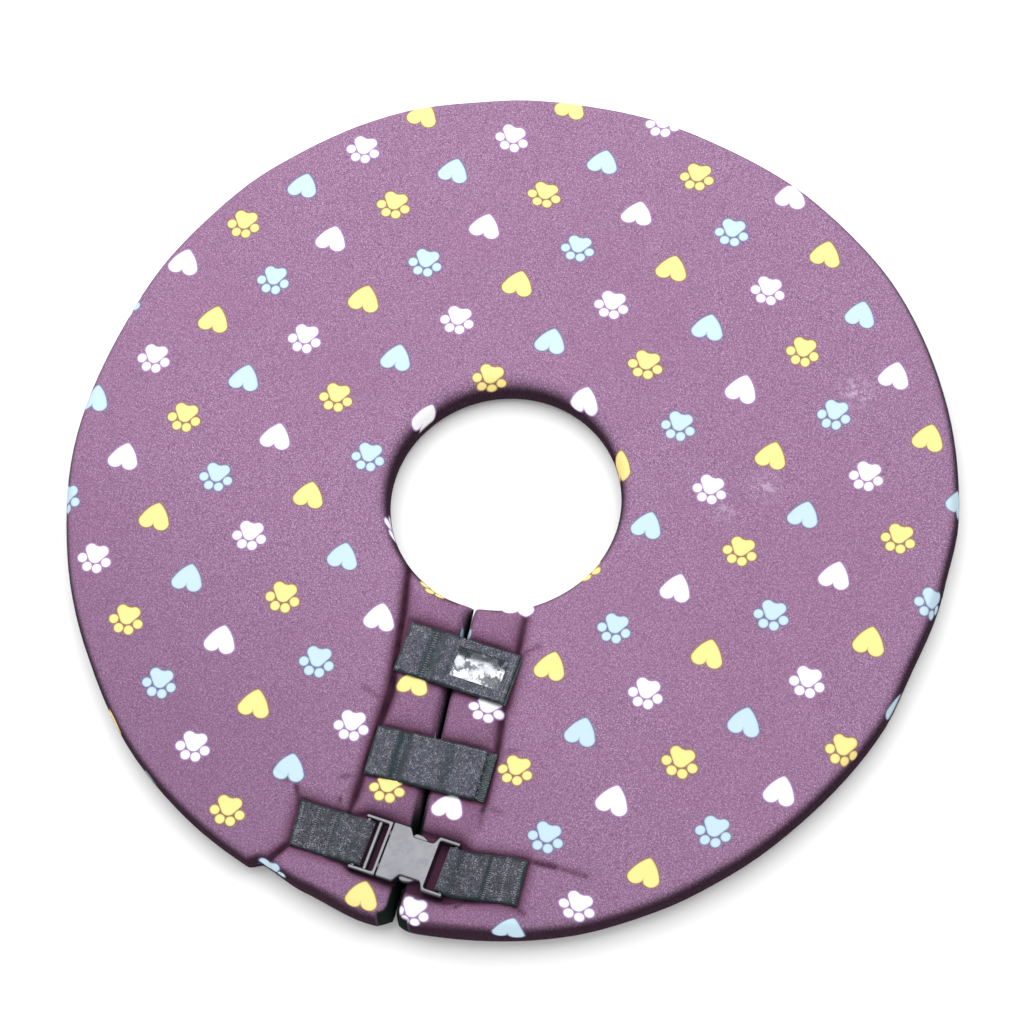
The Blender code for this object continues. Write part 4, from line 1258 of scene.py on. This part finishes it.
def make_cloth():
    """Woven plum polyester with a print of hearts and paws, plain underneath; painted shade darkens its
    hollows, creases, panels, sides, slit and lower left.
    """
    g = Graph("printed_plum_cloth")
    place = g.place()
    x, y, parity, colour = print_cells(g)
    edge = g.math("ADD", g.math("MULTIPLY", heart(g, x, y), g.math("SUBTRACT", 1.0, parity)),
                  g.math("MULTIPLY", paw(g, x, y), parity))
    facing = g.facing()
    across, along = g.parts(place)
    # Painted shade inside the slit: close to it, on faces turned away from up, and on more of them in its
    # lower part
    beside = g.math("MULTIPLY", g.step(g.math("ABSOLUTE", across), 0.0095, 0.0075), g.step(along, 0.0, -0.02))
    beside = g.math("MULTIPLY", beside, g.step(along, -1.03 * OUTER_RADIUS, -OUTER_RADIUS))
    lower = g.step(along, -0.165, -0.185)
    deep = g.math("MAXIMUM", g.step(facing, 0.45, 0.05), g.math("MULTIPLY", lower, g.step(facing, 0.82, 0.50)))
    slit = g.math("MULTIPLY", beside, deep)
    # Painted shade on the pad's sides, by how far the surface faces away from up, less of it beside the slit
    side = g.math("MULTIPLY", g.step(facing, 0.84, 0.26), g.math("MULTIPLY_ADD", beside, -0.8, 1.0))
    shown = g.math("MULTIPLY", g.step(facing, 0.06, 0.20), g.math("SUBTRACT", 1.0, slit))
    inked = g.math("MULTIPLY", g.step(edge, 0.12, -0.12), shown)
    outline = g.math("MULTIPLY", g.step(edge, 0.85, 0.30), shown)
    ink = g.mix(g.step(colour, 0.4, 0.6), YELLOW, SKY)
    ink = g.mix(g.step(colour, 1.4, 1.6), ink, WHITE)
    tint = g.mix(g.step(colour, 0.4, 0.6), YELLOW_EDGE, SKY_EDGE)
    tint = g.mix(g.step(colour, 1.4, 1.6), tint, WHITE_EDGE)
    fine = g.noise(place, 1900.0, 1.0, 0.5)
    coarse = g.noise(place, 75.0, 3.0, 0.6)
    broad = g.noise(place, 9.0, 3.0, 0.5)
    base = g.mix(g.step(fine, 0.24, 0.76), CLOTH_DARK, CLOTH_LIGHT)
    bright = g.math("MAXIMUM", flecks(g, place, 35.0), flecks(g, place, 125.0))
    base = g.mix(g.math("MULTIPLY", bright, 0.50), base, CLOTH_FLECK)
    base = g.mix(g.math("MULTIPLY", g.step(coarse, 0.42, 0.70), 0.07), base, CLOTH_DARK)
    base = g.mix(g.math("MULTIPLY", g.step(broad, 0.40, 0.70), 0.20), base, CLOTH_WARM)
    # Painted shade: the cloth darkens towards the lower left, standing in for the light falling off
    falloff_shade = g.step(g.dot(place, (-0.45, -0.89, 0.0)), 0.05, 0.24)
    base = g.mix(g.math("MULTIPLY", falloff_shade, 0.36), base, CLOTH_DARK)
    # Painted shade on the panels between the straps beside the slit
    panel_shade = g.step(g.math("ABSOLUTE", g.math("ADD", across, 0.003)), 0.037, 0.030)
    panel_shade = g.math("MULTIPLY", panel_shade, g.step(along, -0.055, -0.070))
    panel_shade = g.math("MULTIPLY", panel_shade, g.step(along, -0.200, -0.185))
    base = g.mix(g.math("MULTIPLY", panel_shade, 0.30), base, CLOTH_PANEL_SHADE)
    # Painted shade in the creases, folds and strap seats pressed into the pad
    hollow_shade = g.node("Attribute", attribute_name="hollow_shade").outputs["Fac"]
    base = g.mix(g.math("MULTIPLY", g.step(hollow_shade, 0.0, 0.9), 0.85), base, CLOTH_HOLLOW_SHADE)
    # Painted shadow lines along the creases and folds
    crease_shadow = g.node("Attribute", attribute_name="crease_shadow").outputs["Fac"]
    base = g.mix(g.math("MULTIPLY", crease_shadow, 0.85), base, CREASE_SHADOW)
    # Painted shade on the pad's sides
    base = g.mix(g.math("MULTIPLY", side, 0.94), base, CLOTH_SIDE_SHADE)
    # Painted shade inside the slit
    base = g.mix(slit, base, SLIT_SHADE)
    base = g.mix(g.math("MULTIPLY", outline, 0.80), base, tint)
    dust = 0.0
    for smudge_x, smudge_y, reach in SMUDGES:
        spot = circle(g, across, along, (smudge_x * OUTER_RADIUS, smudge_y * OUTER_RADIUS), 0.0)
        dust = g.math("MAXIMUM", dust, g.step(spot, reach * OUTER_RADIUS, 0.0))
    patchy = g.math("MULTIPLY", g.step(g.noise(place, 260.0, 3.0, 0.6), 0.42, 0.66), dust)
    base = g.mix(g.math("MULTIPLY", patchy, 0.45), base, DUST)
    inner = g.step(edge, -0.75, -0.10)
    ink = g.mix(g.math("MULTIPLY", inner, 0.35), ink, tint)
    ink = g.mix(g.math("MULTIPLY", g.step(fine, 0.35, 0.7), 0.08), ink, DUST)
    skin = g.mix(inked, base, ink)
    weave = g.math("ADD", g.math("MULTIPLY", fine, 0.8), g.math("MULTIPLY", coarse, 0.4))
    normal = g.bump(weave, 0.00026, 0.9)
    return g.finish(base_color=skin, roughness=0.9, normal=normal, specular_ior_level=0.04)


def make_tape(name, dark, light, half, ends, shade_bands=()):
    """Fuzzy tape, frayed at its edges. ends are its ends along it, and the bands are stripes of
    painted shade at its ridges and dips: how far along, how far they reach and how dark."""
    g = Graph(name)
    place = g.place()
    u, v = g.parts(g.uv())
    fine = g.noise(place, 1500.0, 1.0, 0.5)
    grain = g.noise(place, 330.0, 2.0, 0.6)
    broad = g.noise(place, 110.0, 2.0, 0.5)
    base = g.mix(g.step(fine, 0.36, 0.64), dark, light)
    bright = g.math("MAXIMUM", flecks(g, place, 60.0), flecks(g, place, 140.0))
    spark = g.math("MULTIPLY", bright, g.step(grain, 0.42, 0.60))
    base = g.mix(g.math("MULTIPLY", spark, 0.80), base, TAPE_FLECK)
    base = g.mix(g.math("MULTIPLY", g.step(broad, 0.45, 0.75), 0.35), base, dark)
    sway = g.math("MULTIPLY_ADD", grain, 0.0030, -0.0015)
    # Stripes of painted shade across the tape at its ridges and dips
    for at, reach, depth in shade_bands:
        away = g.math("ABSOLUTE", g.math("SUBTRACT", g.math("ADD", u, sway), at))
        base = g.mix(g.math("MULTIPLY", g.step(away, reach, 0.0), depth), base, TAPE_EDGE)
    edge = g.math("SUBTRACT", half, g.math("ABSOLUTE", v))
    edge = g.math("MINIMUM", edge, g.math("SUBTRACT", u, ends[0]))
    edge = g.math("MINIMUM", edge, g.math("SUBTRACT", ends[1], u))
    edge = g.math("ADD", edge, sway)
    base = g.mix(g.math("MULTIPLY", g.step(edge, 0.0018, 0.0002), 0.95), base, TAPE_EDGE)
    height = g.math("ADD", g.math("MULTIPLY", fine, 0.8), g.math("MULTIPLY", grain, 0.7))
    return g.finish(base_color=base, roughness=0.88, sheen_weight=0.10,
                    normal=g.bump(height, 0.0006, 1.0), specular_ior_level=0.25)


def make_thread(name, colour, pale):
    """Spun sewing thread."""
    g = Graph(name)
    twist = g.noise(g.place(), 2400.0, 2.0, 0.6)
    base = g.mix(g.step(twist, 0.35, 0.65), colour, pale)
    return g.finish(base_color=base, roughness=0.7, normal=g.bump(twist, 0.0001, 1.0))


def make_plastic(name):
    """Dark moulded plastic with a satin skin; its sides and edges are painted near-black as shade."""
    g = Graph(name)
    place = g.place()
    fine = g.noise(place, 900.0, 3.0, 0.6)
    broad = g.noise(place, 120.0, 3.0, 0.55)
    base = g.mix(g.step(broad, 0.3, 0.7), PLASTIC_DARK, PLASTIC_LIGHT)
    rough = g.math("MULTIPLY_ADD", broad, 0.16, 0.20)
    normal = g.bump(g.math("ADD", fine, g.math("MULTIPLY", broad, 3.0)), 0.00008, 0.6)
    # Painted shade: faces turned away from up are mixed to near-black, and only the flat tops carry the coat
    flat = g.step(g.facing(), 0.86, 0.992)
    base = g.mix(flat, PLASTIC_SIDE_SHADE, base)
    coat = g.math("MULTIPLY", flat, g.math("MULTIPLY_ADD", g.step(broad, 0.35, 0.65), 0.16, 0.84))
    return g.finish(base_color=base, roughness=rough, normal=normal, coat_weight=coat,
                    coat_ior=2.1, coat_roughness=0.28, coat_normal=normal)


def make_card():
    """A blank card with dark blotches painted in as reflections and a painted shadow across its upper part."""
    g = Graph("blank_card")
    place = g.place()
    speck = g.noise(place, 900.0, 2.0, 0.5)
    cloud = g.noise(place, 120.0, 3.0, 0.6)
    base = g.mix(speck, (0.50, 0.52, 0.58), (0.72, 0.72, 0.76))
    # Dark blotches painted in as reflections
    base = g.mix(g.math("MULTIPLY", g.step(cloud, 0.46, 0.56), 0.90), base, (0.04, 0.05, 0.07))
    # Painted shadow across the card's upper part
    _, height = g.parts(g.uv())
    shade = g.math("ADD", height, g.math("MULTIPLY_ADD", cloud, 0.012, -0.006))
    base = g.mix(g.math("MULTIPLY", g.step(shade, 0.0015, 0.0050), 0.90), base, (0.012, 0.018, 0.026))
    return g.finish(base_color=base, roughness=0.7, specular_ior_level=0.05)


def make_vinyl():
    """Clear, crinkled, glossy vinyl, with white glare painted on its crinkles, thinner across its upper part.
    """
    g = Graph("clear_vinyl")
    place = g.place()
    ripple = g.noise(place, 230.0, 3.0, 0.6)
    scratch = g.noise(g.vector("MULTIPLY", place, (300.0, 1400.0, 300.0)), 1.0, 2.0, 0.5)
    height = g.math("ADD", ripple, g.math("MULTIPLY", scratch, 0.10))
    _, across = g.parts(g.uv())
    # Painted glare: opaque white on the crinkles, thinned across the upper part
    upper = g.step(g.math("ADD", across, g.math("MULTIPLY_ADD", ripple, 0.008, -0.004)), 0.0020, 0.0050)
    glare = g.math("MULTIPLY_ADD", g.step(ripple, 0.50, 0.58), 0.84, 0.05)
    glare = g.math("MULTIPLY", glare, g.math("MULTIPLY_ADD", upper, -0.92, 1.0))
    return g.finish(base_color=(0.90, 0.92, 0.97), roughness=0.10, alpha=glare,
                    specular_ior_level=0.10,
                    normal=g.bump(height, 0.0020, 1.0))


def make_floor():
    g = Graph("pale_floor")
    speck = g.noise(g.place(), 40.0, 3.0, 0.5)
    base = g.mix(speck, (0.96, 0.96, 0.96), (0.98, 0.98, 0.98))
    floor = make_object("floor", [(-6, -6, 0), (6, -6, 0), (6, 6, 0), (-6, 6, 0)], [(0, 1, 2, 3)],
                        g.finish(base_color=base, roughness=0.9))
    return floor


# Camera and lights


def view_axes():
    """The picture's right and up directions, and the direction from AIM to the camera."""
    t, psi = math.radians(CAMERA_TILT_DEG), math.radians(CAMERA_ROLL_DEG)
    near = Vector((*direction(CAMERA_FROM_DEG), 0.0))
    side = Vector((*direction(CAMERA_FROM_DEG + 90), 0.0))
    down = near * math.cos(t) - Vector((0, 0, math.sin(t)))
    back = near * math.sin(t) + Vector((0, 0, math.cos(t)))
    right = down * math.cos(psi) - side * math.sin(psi)
    up = down * math.sin(psi) + side * math.cos(psi)
    return right, up, back


def make_camera():
    right, up, back = view_axes()
    data = bpy.data.cameras.new("camera")
    data.lens = CAMERA_LENS
    data.sensor_width = 36.0
    data.shift_x, data.shift_y = CAMERA_SHIFT
    camera = bpy.data.objects.new("camera", data)
    turn = Matrix((right, up, back)).transposed().to_4x4()
    camera.matrix_world = Matrix.Translation(Vector(AIM) + back * CAMERA_DISTANCE) @ turn
    bpy.context.scene.collection.objects.link(camera)
    bpy.context.scene.camera = camera


def area_light(name, right, up, back, distance, size, power, colour=(1.0, 1.0, 1.0)):
    """A square soft light aimed at AIM, placed along the picture's axes."""
    axes = view_axes()
    toward = (axes[0] * right + axes[1] * up + axes[2] * back).normalized()
    data = bpy.data.lights.new(name, "AREA")
    data.shape = "SQUARE"
    data.size = size
    data.energy = power
    data.color = colour
    light = bpy.data.objects.new(name, data)
    light.location = Vector(AIM) + toward * distance
    light.rotation_euler = (-toward).to_track_quat("-Z", "Y").to_euler()
    bpy.context.scene.collection.objects.link(light)


def make_lights():
    world = bpy.data.worlds.new("studio")
    world.use_nodes = True
    world.node_tree.nodes["Background"].inputs[0].default_value = (1.0, 1.0, 1.0, 1.0)
    world.node_tree.nodes["Background"].inputs[1].default_value = 0.55
    bpy.context.scene.world = world
    area_light("key", -0.16, 1.0, 0.76, 0.80, 1.5, 14.0)
    area_light("fill", 0.4, 0.3, 1.0, 2.2, 1.6, 6.0)
    area_light("lift", -0.3, -1.0, 0.35, 1.4, 1.6, 18.0)


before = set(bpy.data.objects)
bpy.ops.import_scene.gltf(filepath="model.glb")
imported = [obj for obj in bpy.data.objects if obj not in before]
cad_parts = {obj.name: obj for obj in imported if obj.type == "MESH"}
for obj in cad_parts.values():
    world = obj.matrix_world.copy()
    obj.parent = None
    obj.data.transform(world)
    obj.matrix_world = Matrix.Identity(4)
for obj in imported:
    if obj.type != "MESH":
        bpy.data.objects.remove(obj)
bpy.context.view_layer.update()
bpy.context.scene.view_settings.view_transform = "Standard"
make_camera()
make_lights()
make_floor()

cloth = make_cloth()
# The last table of each strap gives its stripes of painted shade at the ridges and dips
id_tape = make_tape("id_hook_and_loop", TAPE_DARK, TAPE_LIGHT, ID_STRAP_WIDTH / 2,
                    (-ID_STRAP_LEFT, ID_STRAP_RIGHT + ID_PATCH_OVERHANG),
                    ((-0.0165, 0.0045, 0.75), (-0.0115, 0.0035, 0.50), (-0.0045, 0.0022, 0.40)))
middle_tape = make_tape("middle_hook_and_loop", TAPE_DARK, TAPE_LIGHT, MIDDLE_STRAP_WIDTH / 2,
                        (-MIDDLE_STRAP_LEFT, MIDDLE_STRAP_RIGHT + MIDDLE_PATCH_OVERHANG),
                        ((-0.0195, 0.0038, 0.85), (-0.0145, 0.0030, 0.75), (0.0080, 0.0040, 0.60)))
patch_tape = make_tape("overlocked_patch", TAPE_EDGE, WEBBING_DARK, MIDDLE_STRAP_WIDTH / 2, (-1.0, 1.0))
plastic = make_plastic("satin_plastic")
dark_thread = make_thread("dark_thread", (0.030, 0.052, 0.056), (0.110, 0.140, 0.145))
grey_thread = make_thread("grey_thread", (0.130, 0.135, 0.155), (0.300, 0.310, 0.340))


def keep(thing, slot, *nodes):
    """A piece rides on the model and stands for nodes of it."""
    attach(thing, "root")
    if nodes:
        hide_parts(*nodes)
    return thing


disc = keep(make_disc(cloth), "cloth", "padded_disc")
keep(make_strap("id_band", ID_LAY, ID_STRAP_LEFT, ID_STRAP_RIGHT, id_tape, window=True), "tape", "id_strap")
keep(make_patch("id_under_patch", ID_LAY, ID_STRAP_RIGHT + ID_PATCH_OVERHANG, patch_tape),
     "tape", "id_patch")
keep(make_strap("middle_band", MIDDLE_LAY, MIDDLE_STRAP_LEFT, MIDDLE_STRAP_RIGHT, middle_tape),
     "tape", "middle_strap")
keep(make_patch("middle_under_patch", MIDDLE_LAY, MIDDLE_STRAP_RIGHT + MIDDLE_PATCH_OVERHANG,
                patch_tape), "tape", "middle_patch")
flap = PAD_THICKNESS - SEAT_DEPTH + 2 * CLEARANCE + PATCH_THICKNESS + TAPE_THICKNESS * 1.1
card_low = flap - WINDOW_DEPTH + 0.0002
keep(window_sheet("card", ID_LAY, card_low, SHEET_THICKNESS, 0.0006, make_card()), "card", "id_card")
keep(window_sheet("window", ID_LAY, card_low + 0.0008, SHEET_THICKNESS / 2, 0.0005, make_vinyl(), 0.0004),
     "vinyl", "id_window")
keep(make_male(plastic), "buckle_plastic", "buckle_male")
keep(make_female(plastic), "buckle_plastic", "buckle_female")

left_course = webbing_along(-1, LEFT_WEBBING_END, 0.0, LEFT_STITCH_FROM_END)
right_course = webbing_along(1, RIGHT_WEBBING_END, RIGHT_WEBBING_RISE, RIGHT_STITCH_FROM_END)
for side, course, stitch, node in ((-1, left_course, LEFT_STITCH_FROM_END, "webbing_left"),
                                   (1, right_course, RIGHT_STITCH_FROM_END, "webbing_right")):
    length, _, place, surface = course
    ridge = length - stitch
    # The webbing's stripes of painted shade lie at the sewn ridge and beside the loop
    web = make_tape("ribbed_" + node, WEBBING_DARK, WEBBING_LIGHT, WEBBING_WIDTH / 2, (-0.01, length),
                    ((ridge, 0.0028, 0.55), (0.0035, 0.0030, 0.35)))
    keep(make_webbing("sewn_" + node, course, web), "webbing", node)
    reach = WEBBING_WIDTH / 2 - 0.0012
    marks = ladder(ridge + 0.0015, -reach, reach, 0.0008, 0.0011)
    marks += ladder(length - 0.0022, -reach, reach, 0.0006, 0.0012)
    marks += ladder((ridge + length) / 2, -reach, reach, 0.0007, 0.0012)
    keep(threads("stitches_" + node, marks, place, lambda t, v: surface(t, v)[1], 0.00016, grey_thread),
         "webbing")


def strap_threads(name, lay, left, right, window, marks, thread, radius=0.00016):
    """Stitches on a hook-and-loop strap."""
    return keep(threads(name, marks, lay.place,
                        lambda u, v: strap_surface(u, v, lay, left, right, window)[1], radius, thread), "tape")


edge = ID_STRAP_WIDTH / 2 - 0.0013
flap_end = ID_STRAP_RIGHT - 0.0013
id_marks = ladder(-0.0165, -edge, edge, 0.0009, 0.0013)
id_marks += dashes((-0.0020, -edge), (flap_end, -edge), 0.0012, 0.0006)
id_marks += dashes((-0.0020, edge), (flap_end, edge), 0.0012, 0.0006)
id_marks += ladder(flap_end, -edge, edge, 0.0004, 0.0008)
id_marks += ladder(flap_end - 0.0014, -edge, edge, 0.0004, 0.0008)
strap_threads("id_stitches", ID_LAY, ID_STRAP_LEFT, ID_STRAP_RIGHT, True, id_marks, grey_thread)
edge = MIDDLE_STRAP_WIDTH / 2 - 0.0013
middle_marks = dashes((-0.0172, -edge), (-0.0172, edge), 0.0007, 0.0010)
middle_marks += dashes((-0.0120, edge), (MIDDLE_STRAP_RIGHT - 0.001, edge), 0.0013, 0.0004)
strap_threads("middle_stitches", MIDDLE_LAY, MIDDLE_STRAP_LEFT, MIDDLE_STRAP_RIGHT, False, middle_marks,
              grey_thread)
patch_top = PAD_THICKNESS - SEAT_DEPTH + CLEARANCE + PATCH_THICKNESS
for node, lay, right, reach in (("id", ID_LAY, ID_STRAP_RIGHT + ID_PATCH_OVERHANG, 0.0006),
                                ("middle", MIDDLE_LAY, MIDDLE_STRAP_RIGHT + MIDDLE_PATCH_OVERHANG, 0.0021)):
    edge = lay.width / 2 - 0.0006
    keep(threads(node + "_overlock", ladder(right - reach, -edge, edge, reach, 0.0009), lay.place,
                 lambda u, v: np.full_like(u, patch_top), 0.00030, dark_thread), "tape")
